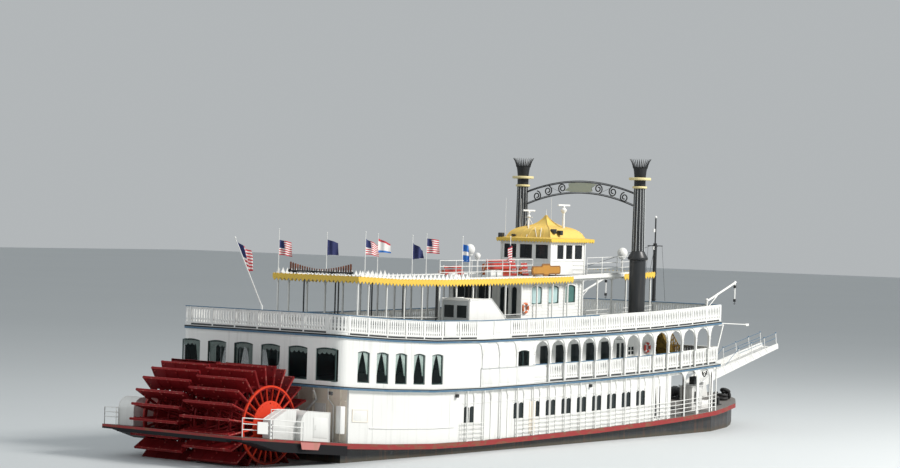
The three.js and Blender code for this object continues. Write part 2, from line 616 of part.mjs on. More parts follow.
// Awning roof and its posts on the third deck
const AWNING = { aft: 7.8, fore: 38.3, half: 3.25, postY: 3.05 };
const roofRows = [AWNING.aft, AWNING.fore].map((x) => [x, -AWNING.half, AWNING.half]);
piece('awning_roof', sheeredPlate(roofRows, ROOF.low, ROOF.top), 'yellow');
const awningPosts = (side) => {
  const half = 0.04;
  const middles = [AWNING.aft + 0.2, ...everyModule(8.96, 18, (x) => x), AWNING.fore - 0.2];
  const bays = middles.slice(1).map((x, i) => rectangle(middles[i] + half, x - half, THIRD.top + GAP, ROOF.low - 0.14));
  const span = { aft: middles[0] - half, fore: middles[middles.length - 1] + half };
  return sheeredBoard({ ...span, low: THIRD.top + GAP, top: ROOF.low - GAP }, bays, [],
    ...spanY(side, AWNING.postY - 0.045, AWNING.postY + 0.045));
};
bothSides('awning_posts', awningPosts, 'white');

// Texas cabin under the awning
const TEXAS = { aft: 24, fore: 30.6, half: 2.8 };
const TEXAS_GLASS = [{ y: 1.6, width: 1.8 }, { y: -0.02, width: 1.15 }];
const TEXAS_TALL = [{ y: -1.52, width: 0.72 }, { y: -2.3, width: 0.46 }];
const texasWalls = () => {
  const span = { low: THIRD.top + GAP, top: ROOF.low - GAP };
  const arches = [25.7, 27.5, 29.3].map((x) => pointsOf(archOutline(x, THIRD.top + 1.7, 1.1, 1.15, 0.12)));
  const sides = [-1, 1].map((side) => sheeredBoard({ aft: TEXAS.aft, fore: TEXAS.fore, ...span }, [], arches,
    ...spanY(side, TEXAS.half - WALL, TEXAS.half)));
  const end = (x) => box(x, x + WALL, -TEXAS.half + 0.02, TEXAS.half - 0.02, span.low, span.top);
  const glass = TEXAS_GLASS.map(({ y, width }) => box(TEXAS.aft - 1, TEXAS.aft + 1, y - width / 2, y + width / 2,
    THIRD.top + 1, THIRD.top + 2.95));
  const tall = TEXAS_TALL.map(({ y, width }) => crossBoard(archOutline(y, THIRD.top + 1, width, 1.85, 0.12),
    TEXAS.aft - 1, TEXAS.aft + 1));
  return fuse([...sides, sheered(cut(end(TEXAS.aft), [...glass, ...tall])), sheered(end(TEXAS.fore - WALL))]);
};
piece('texas_walls', texasWalls(), 'white');

// Stair hood on the third deck, with double doors in its aft face
const HOOD = { aft: 15.6, crest: 17.7, fore: 20.4, inner: 3.2, outer: 5.3, height: 2.3, frame: 0.1 };
const hoodLift = restOn(HOOD.aft, HOOD.aft + DOOR.thick) + THIRD.top;
const hood = () => {
  const low = THIRD.top + GAP;
  const top = THIRD.top + HOOD.height;
  const profile = outline([[HOOD.aft, low], [HOOD.fore, low], [HOOD.fore, low + 0.12], [HOOD.crest, top], [HOOD.aft, top]]);
  const inside = outline([[HOOD.aft - 1, low - 1], [HOOD.fore - 0.3, low - 1],
    [HOOD.crest - 0.1, top - HOOD.frame], [HOOD.aft - 1, top - HOOD.frame]]);
  return sheered(cut(sideBoard(profile, -HOOD.outer, -HOOD.inner), [
    sideBoard(inside, -HOOD.outer + HOOD.frame, -HOOD.inner - HOOD.frame),
  ]));
};
piece('stair_hood', hood(), 'white');
const HOOD_MIDDLE = -(HOOD.inner + HOOD.outer) / 2;
const hoodDoor = (from, to) => box(HOOD.aft, HOOD.aft + DOOR.thick, from, to,
  hoodLift + DOOR.gap, hoodLift + HOOD.height - HOOD.frame - DOOR.gap);
piece('hood_door_starboard', hoodDoor(-HOOD.outer + HOOD.frame + GAP, HOOD_MIDDLE - DOOR.gap / 2), 'grey');
piece('hood_door_port', hoodDoor(HOOD_MIDDLE + DOOR.gap / 2, -HOOD.inner - HOOD.frame - GAP), 'grey');

// Gilded stair from the second deck to the third
const STAIR = { x0: 38.4, x1: 40.9, inner: 2.6, outer: 3.8 };
const gildedStair = () => {
  const low = SECOND.top + GAP;
  const top = THIRD.low - GAP;
  const steps = 12;
  const points = [[STAIR.x1, low]];
  for (let i = 0; i < steps; i += 1) {
    const z = low + ((top - low) * (i + 1)) / steps;
    const x = STAIR.x1 - ((STAIR.x1 - STAIR.x0) * i) / steps;
    points.push([x, z], [STAIR.x1 - ((STAIR.x1 - STAIR.x0) * (i + 1)) / steps, z]);
  }
  points.push([STAIR.x0, top - 0.35], [STAIR.x1 - 0.45, low]);
  return sheered(sideBoard(outline(points), -STAIR.outer, -STAIR.inner));
};
piece('gilded_stair', gildedStair(), 'gold');

// Pilothouse on the roof
const PILOT = { aft: 28.25, fore: 32.0, half: 1.95, eave: 12.47, wall: 0.1, roofMiddle: 30.375 };
const PILOT_DOOR = { aft: 30.95, fore: 31.75, height: 1.95 };
const pilotFloor = restOn(PILOT.aft, PILOT.fore) + ROOF.top;
const pilotWalls = () => {
  const shell = cut(box(PILOT.aft, PILOT.fore, -PILOT.half, PILOT.half, pilotFloor, PILOT.eave - GAP), [
    box(PILOT.aft + PILOT.wall, PILOT.fore - PILOT.wall, -PILOT.half + PILOT.wall, PILOT.half - PILOT.wall, 9, 14),
  ]);
  const across = [-1.25, 0, 1.25].map((y) => box(PILOT.aft - 1, PILOT.fore + 1, y - 0.51, y + 0.51, 11.3, 12.25));
  const along = [29.33, 30.3].map((x) => box(x - 0.37, x + 0.37, -3, 3, 11.3, 12.25));
  const starboardWindow = box(30.9, 31.76, -3, 0, 11.3, 12.25);
  const door = box(PILOT_DOOR.aft, PILOT_DOOR.fore, 0, 3, 9, pilotFloor + PILOT_DOOR.height);
  return cut(shell, [...across, ...along, starboardWindow, door]);
};
piece('pilothouse_walls', pilotWalls(), 'white');
piece('pilothouse_door', box(PILOT_DOOR.aft + DOOR.gap, PILOT_DOOR.fore - GAP,
  PILOT.half - DOOR.thick, PILOT.half, pilotFloor + DOOR.gap, pilotFloor + PILOT_DOOR.height - DOOR.gap), 'white');

const PAGODA = [
  // share of the eave's size, height
  [1, 12.47], [1, 12.6], [0.8, 12.68], [0.755, 12.87], [0.69, 13.07], [0.56, 13.25], [0.38, 13.36], [0.2, 13.45],
  [0.11, 13.7], [0.05, 13.95], [0.02, 14.1], [0.012, 14.5],
];
const RADARS = [
  // name, x, y, post top
  ['upper', 30.9, -1.0, 14.62],
  ['lower', 29.7, 0.9, 14.22],
];
const pagoda = () => {
  const centre = PILOT.roofMiddle;
  const halfX = 2.4;
  const halfY = 2.2;
  const roof = loft(PAGODA.map(([share, z]) => [
    [centre - halfX * share, -halfY * share, z], [centre + halfX * share, -halfY * share, z],
    [centre + halfX * share, halfY * share, z], [centre - halfX * share, halfY * share, z],
  ]));
  return fuse([roof, ...RADARS.map(([, x, y, top]) => post(x, y, 12.7, top, 0.06))]);
};
piece('pilothouse_roof', pagoda(), 'yellow');

// Funnels and the arch between them
const FUNNEL = { x: 34.1, y: 4.69, trunk: 0.53, shaftLow: 0.42, shaftTop: 0.36 };
const funnel = (side) => {
  const base = restOn(FUNNEL.x - FUNNEL.trunk, FUNNEL.x + FUNNEL.trunk) + THIRD.top;
  return turned(FUNNEL.x, side * FUNNEL.y, [
    [0, base], [FUNNEL.trunk, base], [FUNNEL.trunk, 11.38], [0.66, 11.44], [0.64, 11.54], [0.45, 11.85],
    [FUNNEL.shaftLow, 11.9], [FUNNEL.shaftTop, 15.95], [0.47, 15.98], [0.47, 16.14], [0.37, 16.18], [0.37, 16.5],
    [0.72, 16.53], [0.72, 16.7], [0.39, 16.74], [0.41, 17.05], [0.5, 17.45], [0.72, 17.92],
    [0.67, 17.92], [0.43, 17.4], [0, 17.3],
  ]);
};
bothSides('funnel', funnel, 'black');
const BOW_DEPTH = 0.13;
const arch = () => {
  const [x0, x1] = [FUNNEL.x - 0.04, FUNNEL.x + 0.04];
  const bow = (endLow, middleLow) => {
    const shape = new THREE.Shape();
    shape.moveTo(-FUNNEL.y, endLow);
    shape.quadraticCurveTo(0, 2 * middleLow - endLow, FUNNEL.y, endLow);
    shape.lineTo(FUNNEL.y, endLow + BOW_DEPTH);
    shape.quadraticCurveTo(0, 2 * middleLow - endLow + BOW_DEPTH, -FUNNEL.y, endLow + BOW_DEPTH);
    shape.closePath();
    return crossBoard(shape, x0, x1);
  };
  const scroll = ([y, z]) => {
    const shape = new THREE.Shape();
    shape.absarc(y, z, 0.34, 0, 2 * Math.PI, false);
    shape.holes.push(new THREE.Path().absarc(y, z, 0.26, 0, 2 * Math.PI, true));
    return crossBoard(shape, x0, x1);
  };
  const scrolls = [[3.5, 15.52], [2.6, 15.75], [1.45, 15.94]].flatMap(([y, z]) => [scroll([y, z]), scroll([-y, z])]);
  const plaque = box(x0, x1, -0.76, 0.76, 15.68, 16.34);
  const tools = [-1, 1].map((side) => post(FUNNEL.x, side * FUNNEL.y, 11.9, 15.95,
    FUNNEL.shaftLow + GAP, FUNNEL.shaftTop + GAP, 24));
  return cut(fuse([bow(15.47, 16.32), bow(14.65, 15.6), ...scrolls, plaque]), tools);
};
piece('funnel_arch', arch(), 'black');

// Masts, staffs and radars
const MAST = { x: 43.2, top: 14.2, radius: 0.13 };
const mast = () => fuse([
  post(MAST.x, 0, restOn(MAST.x - MAST.radius, MAST.x + MAST.radius) + MAIN_TOP, 12.43, MAST.radius),
  post(MAST.x, 0, 12.3, MAST.top, 0.05),
  crossBar(MAST.x, 12.26, -0.6, 0.6, 0.03, 8),
]);
piece('mast', mast(), 'black');

RADARS.forEach(([name, x, y, top]) => {
  piece(`radar_scanner_${name}`, fuse([
    box(x - 0.65, x + 0.65, y - 0.06, y + 0.06, top + 0.1, top + 0.22),
    post(x, y, top + GAP, top + 0.15, 0.09),
  ]), 'white');
});

// Calliope on the aft end of the roof
const CALLIOPE = { x: 8.6, middle: 0.32, half: 2.42, pipes: 16, legs: [-1.93, -0.6, 0.9, 2.3] };
const calliope = () => {
  const { x, middle, half, pipes, legs } = CALLIOPE;
  const base = restOn(x - 0.2, x + 0.2) + ROOF.top;
  const parts = [box(x - 0.1, x + 0.1, middle - half, middle + half, base + 0.13, base + 0.26)];
  legs.forEach((y) => {
    parts.push(box(x - 0.17, x + 0.17, y - 0.05, y + 0.05, base + 0.1, base + 0.15));
    [x - 0.13, x + 0.13].forEach((legX) => {
      parts.push(post(legX, y, restOn(legX - 0.03, legX + 0.03) + ROOF.top, base + 0.12, 0.03, 0.03, 8));
    });
  });
  for (let i = 0; i < pipes; i += 1) {
    const share = (2 * i) / (pipes - 1) - 1;
    parts.push(post(x, middle + share * (half - 0.1), base + 0.2, base + 0.33 + 0.32 * share ** 2, 0.06, 0.06, 8));
  }
  return fuse(parts);
};
piece('calliope', calliope(), 'copper');

// Roof railings and flagpoles on a coaming along each edge of the roof
const ROOF_RAIL = { y: 3.15, aft: 7.95, fore: 35.8, height: 1.18, starboardOnly: [15.4, 24.7], both: [30.6, 35.7] };
const FLAGPOLES = [8.1, 12.4, 17.2, 22.0];
const FLAG = { top: 2.6, length: 0.9, height: 0.9, starboardShift: 0.35 };
const roofRail = (side) => {
  const y = side * ROOF_RAIL.y;
  const low = ROOF.top;
  const curb = low + 0.08;
  const holes = [];
  const path = [[ROOF_RAIL.aft, low + GAP], [ROOF_RAIL.fore, low + GAP], [ROOF_RAIL.fore, curb]];
  const stretches = side < 0 ? [ROOF_RAIL.both, ROOF_RAIL.starboardOnly] : [ROOF_RAIL.both];
  stretches.forEach(([x0, x1]) => {
    path.push([x1, curb], [x1, low + ROOF_RAIL.height], [x0, low + ROOF_RAIL.height], [x0, curb]);
    const count = Math.round((x1 - x0) / MODULE);
    const bay = (x1 - x0 - 0.05) / count;
    for (let i = 0; i < count; i += 1) {
      const x = x0 + 0.05 + i * bay;
      [0.12, 0.47, 0.82].forEach((h) => holes.push(rectangle(x, x + bay - 0.05, low + h, low + h + 0.3)));
    }
  });
  path.push([ROOF_RAIL.aft, curb]);
  const shape = outline(bent(path));
  shape.holes = holes.map((points) => outline(bent(points)));
  const rail = sideBoard(shape, y - 0.025, y + 0.025);
  const poles = FLAGPOLES.flatMap((portX) => {
    const x = portX + (side < 0 ? FLAG.starboardShift : 0);
    const foot = sheerAt(x) + low;
    return [
      post(x, y, foot + 0.04, foot + FLAG.top, 0.03, 0.03, 6),
      box(x, x + FLAG.length, y - 0.01, y + 0.01, foot + FLAG.top - FLAG.height - 0.3, foot + FLAG.top - 0.3),
    ];
  });
  return fuse([rail, ...poles]);
};
bothSides('roof_rail', roofRail, 'white');

// Stern staff with its large flag
const STAFF = { foot: [3.25, 0, 8.45], head: [0.9, 0, 12.3] };
const sternStaff = () => fuse([
  bar(STAFF.foot, STAFF.head, 0.04),
  post(STAFF.foot[0], 0, restOn(STAFF.foot[0] - 0.08, STAFF.foot[0] + 0.08) + THIRD.top, STAFF.foot[2] + 0.1, 0.08),
  sideBoard(outline([[1.02, 12.1], [-0.9, 11.8], [-0.3, 10.6], [1.76, 10.9]]), -0.012, 0.012),
]);
piece('stern_staff', sternStaff(), 'white');

// Bow: landing stage, its stand, windlass, and the two davits

const STAGE = { pivotX: 48.7, pivotZ: 2.6, half: 0.72, beam: 0.12, tip: 58.75 };
const stageProfile = [
  [48.56, 2.46], [48.56, 2.78], [50.5, 3.63], [58.72, 5.28], [58.8, 4.93], [50.3, 2.95], [48.85, 2.46],
];
const landingStage = () => {
  const beams = [-1, 1].map((side) => sideBoard(outline(stageProfile), ...spanY(side, STAGE.half - STAGE.beam, STAGE.half)));
  const deck = sideBoard(outline([[48.9, 2.62], [48.9, 2.72], [50.4, 3.15], [58.7, 5.02], [58.7, 4.95], [50.4, 3.05]]),
    -STAGE.half + 0.05, STAGE.half - 0.05);
  const parts = [...beams, deck, crossBar(STAGE.pivotX, STAGE.pivotZ, -STAGE.half, STAGE.half, 0.13, 16)];
  [53.55, 55.25, 57.0, 58.6].forEach((x) => [-1, 1].forEach((side) => {
    const z = lerpTable([[50.5, 3.63], [58.72, 5.28]], x);
    parts.push(bar([x, side * (STAGE.half - 0.06), z - 0.1], [x - 0.15, side * (STAGE.half - 0.06), z + 0.82], 0.03));
  }));
  return fuse(parts);
};
piece('landing_stage', landingStage(), 'white');
const stageStand = () => {
  const foot = restOn(48.3, 49.1) + MAIN_TOP;
  const lugs = [-1, 1].map((side) => sideBoard(
    outline([[48.3, foot], [49.1, foot], [48.85, 2.8], [48.55, 2.8]]),
    ...spanY(side, STAGE.half + GAP, STAGE.half + 0.12),
  ));
  return fuse([...lugs, box(48.3, 49.1, -STAGE.half - 0.1, STAGE.half + 0.1, foot, foot + 0.12)]);
};
piece('stage_stand', stageStand(), 'white');

const WINDLASS = { x: 46.2, half: 1.1 };
const windlass = () => {
  const foot = restOn(WINDLASS.x - 0.4, WINDLASS.x + 0.4) + MAIN_TOP;
  return fuse([
    box(WINDLASS.x - 0.4, WINDLASS.x + 0.4, -WINDLASS.half, WINDLASS.half, foot, foot + 0.15),
    crossBar(WINDLASS.x, foot + 0.55, -WINDLASS.half, WINDLASS.half, 0.28, 16),
    box(WINDLASS.x - 0.2, WINDLASS.x + 0.2, -0.5, -0.3, foot + 0.1, foot + 0.8),
    box(WINDLASS.x - 0.2, WINDLASS.x + 0.2, 0.3, 0.5, foot + 0.1, foot + 0.8),
  ]);
};
piece('windlass', windlass(), 'black');

const DAVIT = { x: 41.6, y: 5.3, base: 8.75, reach: 3.6, rise: 1.2 };
const davit = (side) => {
  const foot = restOn(DAVIT.x - 0.09, DAVIT.x + 0.09) + THIRD.top;
  const y = side * DAVIT.y;
  return fuse([
    post(DAVIT.x, y, foot, DAVIT.base, 0.09),
    bar([DAVIT.x, y, DAVIT.base - 0.08], [DAVIT.x + DAVIT.reach, y, DAVIT.base + DAVIT.rise], 0.07),
    bar([DAVIT.x + DAVIT.reach - 0.1, y, DAVIT.base + DAVIT.rise], [DAVIT.x + DAVIT.reach - 0.1, y, DAVIT.base - 0.1], 0.05),
  ]);
};
bothSides('davit', davit, 'white');

export default steamer;
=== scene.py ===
# %% [markdown]
# # A stern-wheel river steamer, modelled at half size
# The construction comes ready made: hull, decks, walls, wheel and rails, each as its own piece.
# This lesson dresses it, from paint and glass to balusters, scrollwork and flags. The pieces are
# laid out in metres of the full-size ship, because deck heights and window widths are easy to
# picture there, and each one is halved when it is finished.

# %% Load the construction
import math
import bpy
from mathutils import Matrix, Vector


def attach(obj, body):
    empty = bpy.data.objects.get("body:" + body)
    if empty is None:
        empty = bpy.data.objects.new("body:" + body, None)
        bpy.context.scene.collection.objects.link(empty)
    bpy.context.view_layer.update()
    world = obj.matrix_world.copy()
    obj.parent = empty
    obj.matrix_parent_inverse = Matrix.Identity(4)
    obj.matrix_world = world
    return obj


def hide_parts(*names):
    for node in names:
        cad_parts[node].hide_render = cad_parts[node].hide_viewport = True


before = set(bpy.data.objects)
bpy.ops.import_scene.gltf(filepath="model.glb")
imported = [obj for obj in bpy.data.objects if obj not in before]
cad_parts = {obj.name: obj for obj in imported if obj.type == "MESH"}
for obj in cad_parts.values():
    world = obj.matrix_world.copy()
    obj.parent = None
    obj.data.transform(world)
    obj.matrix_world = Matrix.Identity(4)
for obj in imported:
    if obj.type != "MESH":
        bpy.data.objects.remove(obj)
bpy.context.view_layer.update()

# %% [markdown]
# ## The ship's lines
# A river steamer's decks aren't level: they rise in a long curve, the sheer, towards both ends.
# Heights here are given above that curve, and a finished piece is lifted onto it at the end.
# That keeps every rail and window straight while it is being made.

# %% Lines and deck heights, in metres of the full-size ship
SCALE = 0.5
ORIGIN_X = 24.0
DRAUGHT = 2.2
TO_MODEL = Matrix.Scale(SCALE, 4) @ Matrix.Translation((-ORIGIN_X, 0, DRAUGHT))
SHEER = (
    (-4.4, 1.72), (0, 1.33), (4, 1.0), (7.5, 0.78), (11.5, 0.61), (16, 0.57), (21, 0.63),
    (28, 0.75), (34, 0.91), (38, 1.07), (42, 1.28), (46, 1.51), (49, 1.68), (51.6, 1.83),
)
MAIN, SECOND, THIRD, ROOF = 0.12, 3.27, 6.09, 9.47  # deck tops above the sheer
SECOND_UNDER, THIRD_UNDER, ROOF_UNDER = 3.07, 5.89, 9.33
MODULE = 1.643  # pitch of columns and rail posts
SIDES = (-1, 1)  # starboard, port
SIDE_NAME = {-1: "starboard", 1: "port"}


def sheer(x):
    for (x0, z0), (x1, z1) in zip(SHEER, SHEER[1:]):
        if x <= x1:
            return z0 + (z1 - z0) * (x - x0) / (x1 - x0)
    return SHEER[-1][1]


def to_model(x, y, z):
    return TO_MODEL @ Vector((x, y, z))


WATER = to_model(0, 0, 0).z
print("the water lies", round(WATER, 3), "m above the flat bottom")

# %% [markdown]
# ## Camera, floor and light
# The camera stands high on a bank off the starboard quarter and looks down the ship with a long
# lens. Its place was solved from the deck edges, the wheel and the funnels, so it is simply set.
# The floor is a pale sheet at the waterline. A large soft lamp from starboard lights the long
# side and leaves the stern in shade, as an open sky with a high sun does.

# %% Camera
CAMERA_AT = to_model(-105.08, -97.83, 13.48)
CAMERA_YAW, CAMERA_PITCH, CAMERA_ROLL = (math.radians(a) for a in (37.96, -0.26, 1.6))
FOCAL_IN_WIDTHS = 2584 / 900
SENSOR_MM = 36.0

ahead = Vector((math.cos(CAMERA_YAW) * math.cos(CAMERA_PITCH),
                math.sin(CAMERA_YAW) * math.cos(CAMERA_PITCH), math.sin(CAMERA_PITCH)))
level_right = Vector((math.sin(CAMERA_YAW), -math.cos(CAMERA_YAW), 0))
level_up = level_right.cross(ahead)
right = level_right * math.cos(CAMERA_ROLL) + level_up * math.sin(CAMERA_ROLL)
up = level_up * math.cos(CAMERA_ROLL) - level_right * math.sin(CAMERA_ROLL)
camera_data = bpy.data.cameras.new("camera")
camera_data.sensor_width = SENSOR_MM
camera_data.lens = SENSOR_MM * FOCAL_IN_WIDTHS
camera_data.clip_end = 500
camera = bpy.data.objects.new("camera", camera_data)
camera.matrix_world = Matrix.Translation(CAMERA_AT) @ Matrix((right, up, -ahead)).transposed().to_4x4()
bpy.context.scene.collection.objects.link(camera)
bpy.context.scene.camera = camera

# %% Floor and lights
FLOOR_HALF = 300.0
MIDDLE = Vector((0.0, 0.0, 2.5))


def deselect():
    bpy.ops.object.select_all(action="DESELECT")


deselect()
bpy.ops.mesh.primitive_plane_add(size=2 * FLOOR_HALF, location=(0, 0, WATER))
floor = bpy.context.active_object
floor.name = "floor"


def lamp(name, watts, size, azimuth, height, distance, colour):
    turn = math.radians(azimuth)
    data = bpy.data.lights.new(name, "AREA")
    data.energy = watts
    data.size = size
    data.color = colour
    lamp_object = bpy.data.objects.new(name, data)
    at = MIDDLE + Vector((math.cos(turn) * distance, math.sin(turn) * distance, height))
    aim = (MIDDLE - at).to_track_quat("-Z", "Y").to_matrix().to_4x4()
    lamp_object.matrix_world = Matrix.Translation(at) @ aim
    bpy.context.scene.collection.objects.link(lamp_object)


lamp("key", 31000, 14, -72, 34, 40, (1.0, 0.975, 0.94))
lamp("fill", 3000, 30, 150, 26, 44, (0.93, 0.96, 1.0))
world = bpy.data.worlds.new("sky")
world.use_nodes = True
world.node_tree.nodes["Background"].inputs["Color"].default_value = (0.80, 0.84, 0.86, 1)
world.node_tree.nodes["Background"].inputs["Strength"].default_value = 0.56
bpy.context.scene.world = world
bpy.context.scene.view_settings.view_transform = "Standard"

# %% [markdown]
# ## Shader maths
# A material here is a sum of small masks: dirt, streaks, worn edges. Wiring each Math node by
# hand hides the idea, so one small class wraps a node's output and lets plain Python operators
# add the nodes.

# %% A socket with arithmetic, and a material that makes its nodes
class Value:
    def __init__(self, paint, socket):
        self.paint = paint
        self.socket = socket

    def math(self, operation, *others, clamp=False):
        settings = {"operation": operation, "use_clamp": clamp}
        return self.paint.node("ShaderNodeMath", settings, {i: v for i, v in enumerate((self, *others))})

    def __add__(self, other):
        return self.math("ADD", other)

    def __sub__(self, other):
        return self.math("SUBTRACT", other)

    def __mul__(self, other):
        return self.math("MULTIPLY", other)

    def __rsub__(self, other):
        return (self * -1) + other

    __radd__ = __add__
    __rmul__ = __mul__

    def above(self, edge, soft=0.01):
        """0 below the edge, 1 above it, with a soft step."""
        return ((self - edge) * (1 / soft)).math("ADD", 0.5, clamp=True)

    def below(self, edge, soft=0.01):
        return 1 - self.above(edge, soft)


class Paint:
    def __init__(self, name):
        self.material = bpy.data.materials.new(name)
        self.material.use_nodes = True
        self.tree = self.material.node_tree
        self.shader = self.tree.nodes["Principled BSDF"]
        self.place = self.node("ShaderNodeTexCoord", {}, {}, "Object")
        self.normal = self.node("ShaderNodeTexCoord", {}, {}, "Normal")

    def node(self, kind, settings, inputs, output=0):
        made = self.tree.nodes.new(kind)
        for key, value in settings.items():
            setattr(made, key, value)
        for key, value in inputs.items():
            if isinstance(value, Value):
                self.tree.links.new(value.socket, made.inputs[key])
            else:
                made.inputs[key].default_value = value
        return Value(self, made.outputs[output])

    def axis(self, letter, source=None):
        return self.node("ShaderNodeSeparateXYZ", {}, {0: source or self.place}, letter)

    def noise(self, scale, detail=4, stretch=(1, 1, 1), rough=0.55):
        moved = self.node("ShaderNodeMapping", {}, {"Vector": self.place, "Scale": stretch})
        inputs = {"Vector": moved, "Scale": scale, "Detail": detail, "Roughness": rough}
        return self.node("ShaderNodeTexNoise", {}, inputs, "Fac")

    def mix(self, factor, a, b):
        a, b = ((*c, 1) if isinstance(c, tuple) and len(c) == 3 else c for c in (a, b))
        return self.node("ShaderNodeMix", {"data_type": "RGBA"}, {0: factor, 6: a, 7: b}, 2)

    def set(self, **sockets):
        """Sockets by name, with spaces as underscores: a Value is linked and a number is set."""
        for key, value in sockets.items():
            socket = self.shader.inputs[key.replace("_", " ")]
            if isinstance(value, Value):
                self.tree.links.new(value.socket, socket)
            else:
                socket.default_value = value
        return self.material

    def bump(self, height, distance, strength=1.0):
        inputs = {"Height": height, "Distance": distance, "Strength": strength}
        return self.node("ShaderNodeBump", {}, inputs, "Normal")

    def above_sheer(self):
        """Height above the sheer line in metres of the ship."""
        low, high = SHEER[0][0], SHEER[-1][0]
        along = ((self.axis("X") * (1 / SCALE)) + (ORIGIN_X - low)) * (1 / (high - low))
        curve = self.node("ShaderNodeFloatCurve", {}, {"Value": along})
        line = curve.socket.node.mapping.curves[0]
        tallest = 2.0
        points = [((x - low) / (high - low), z / tallest) for x, z in SHEER]
        line.points[0].location = points[0]
        line.points[1].location = points[-1]
        for point in points[1:-1]:
            line.points.new(*point)
        for point in line.points:
            point.handle_type = "VECTOR"
        curve.socket.node.mapping.update()
        return self.axis("Z") * (1 / SCALE) - DRAUGHT - curve * tallest


# %% [markdown]
# ## The finishes
# White marine paint is never one white: it yellows, and rain draws grey and rusty streaks down
# from every ledge. Stretched noise gives the streaks. The inner faces of walls are painted a
# near-black brown: dark panelling, darkened as painted shade for the unlit rooms. The normal says
# which faces those are: on an inner face it points back towards the middle of the house.

# %% White paint and the other plain paints
def weathered(name, colour, streak, amount=0.35, rough=0.42, inner=None, middle_x=None, bump=0.002):
    paint = Paint(name)
    cloud = paint.noise(1.7, 3)
    streaks = paint.noise(2.2, 5, (3.2, 3.2, 0.22)).above(0.60, 0.16)
    patches = paint.noise(0.55, 2).above(0.5, 0.3)
    base = paint.mix(cloud, tuple(c * 0.95 for c in colour), colour)
    shade = paint.mix(streaks * patches * amount, base, streak)
    # Inner faces take the painted shade colour of the unlit rooms.
    if inner is not None:
        nx, ny = paint.axis("X", paint.normal), paint.axis("Y", paint.normal)
        outward = nx * (paint.axis("X") - (middle_x - ORIGIN_X) * SCALE) + ny * paint.axis("Y")
        shade = paint.mix(outward.below(-0.02, 0.02), shade, inner)
    fine = paint.noise(38, 3)
    return paint.set(Base_Color=shade, Roughness=cloud * 0.2 + (rough - 0.1) + streaks * 0.1,
                     Normal=paint.bump(fine, bump, 0.5))


WHITE = (0.80, 0.80, 0.775)
RUST = (0.33, 0.20, 0.12)
SOOT = (0.42, 0.41, 0.38)
# Painted shade: a near-black brown for walls' inner faces, dark panelling darkened for the unlit rooms.
INSIDE_SHADE = (0.055, 0.04, 0.032)
white_paint = weathered("white_paint", WHITE, SOOT)
white_walls = weathered("white_walls", WHITE, SOOT, inner=INSIDE_SHADE, middle_x=20)
texas_white = weathered("texas_white", WHITE, SOOT, inner=INSIDE_SHADE, middle_x=27.3)
grey_paint = weathered("grey_paint", (0.50, 0.52, 0.52), SOOT)
beige_paint = weathered("beige_paint", (0.92, 0.85, 0.74), RUST, amount=0.25)
blue_paint = weathered("blue_paint", (0.07, 0.16, 0.26), (0.05, 0.09, 0.13))
yellow_paint = weathered("yellow_paint", (0.80, 0.53, 0.07), (0.36, 0.24, 0.05), amount=0.25)
pagoda_paint = weathered("pagoda_paint", (0.78, 0.54, 0.13), (0.50, 0.34, 0.09), amount=0.25)
plaque_paint = weathered("plaque_paint", (0.42, 0.45, 0.36), SOOT)
dark_iron = weathered("dark_iron", (0.007, 0.008, 0.009), (0.03, 0.03, 0.03), amount=0.3, rough=0.4)
cream_paint = weathered("cream_paint", (0.72, 0.62, 0.32), SOOT)
red_paint = weathered("red_paint", (0.50, 0.05, 0.035), (0.20, 0.03, 0.02))
iron_paint = weathered("iron_paint", (0.022, 0.024, 0.026), (0.10, 0.09, 0.08), amount=0.45, rough=0.34)
board_paint = weathered("board_paint", (0.47, 0.22, 0.035), (0.25, 0.10, 0.02), rough=0.4)
brown_board = weathered("brown_board", (0.24, 0.11, 0.03), (0.10, 0.05, 0.02), rough=0.45)

# %% [markdown]
# ## Decks, hull and guard
# One slab can carry three finishes: grey deck paint where it is walked on, white where it is a
# ceiling, and a coloured stripe on its edge. The normal's height tells the three apart. The hull
# gets what the river leaves on it: a brown band just over the water and rust below the guard.

# %% Slabs and hull
def slab(name, edge, top, under, edge_worn, worn_amount, stripes=(), shadows=()):
    """Paint by which way a face looks; stripes and shadows are edge bands, by height above the sheer."""
    paint = Paint(name)
    up = paint.axis("Z", paint.normal)
    cloud = paint.noise(1.4, 4)
    wear = paint.noise(3.1, 6, (1, 1, 2.5)).above(0.56, 0.12) * worn_amount
    walked = paint.mix(cloud, tuple(c * 0.8 for c in top), top)
    side = paint.mix(wear, edge, edge_worn)
    height = paint.above_sheer() if stripes else None
    for bands, inside, outside in ((stripes, side, under), (shadows, (0.012, 0.016, 0.022), None)):
        for number, (low, high) in enumerate(bands):
            band = height.above(low, 0.015) - height.above(high, 0.015)
            side = paint.mix(band, side if number or not outside else outside, inside)
    colour = paint.mix(up.above(0.5, 0.1), paint.mix(up.below(-0.5, 0.1), side, under), walked)
    return paint.set(Base_Color=colour, Roughness=cloud * 0.25 + 0.42, IOR=1.22,
                     Normal=paint.bump(paint.noise(26, 4), 0.003, 0.6))


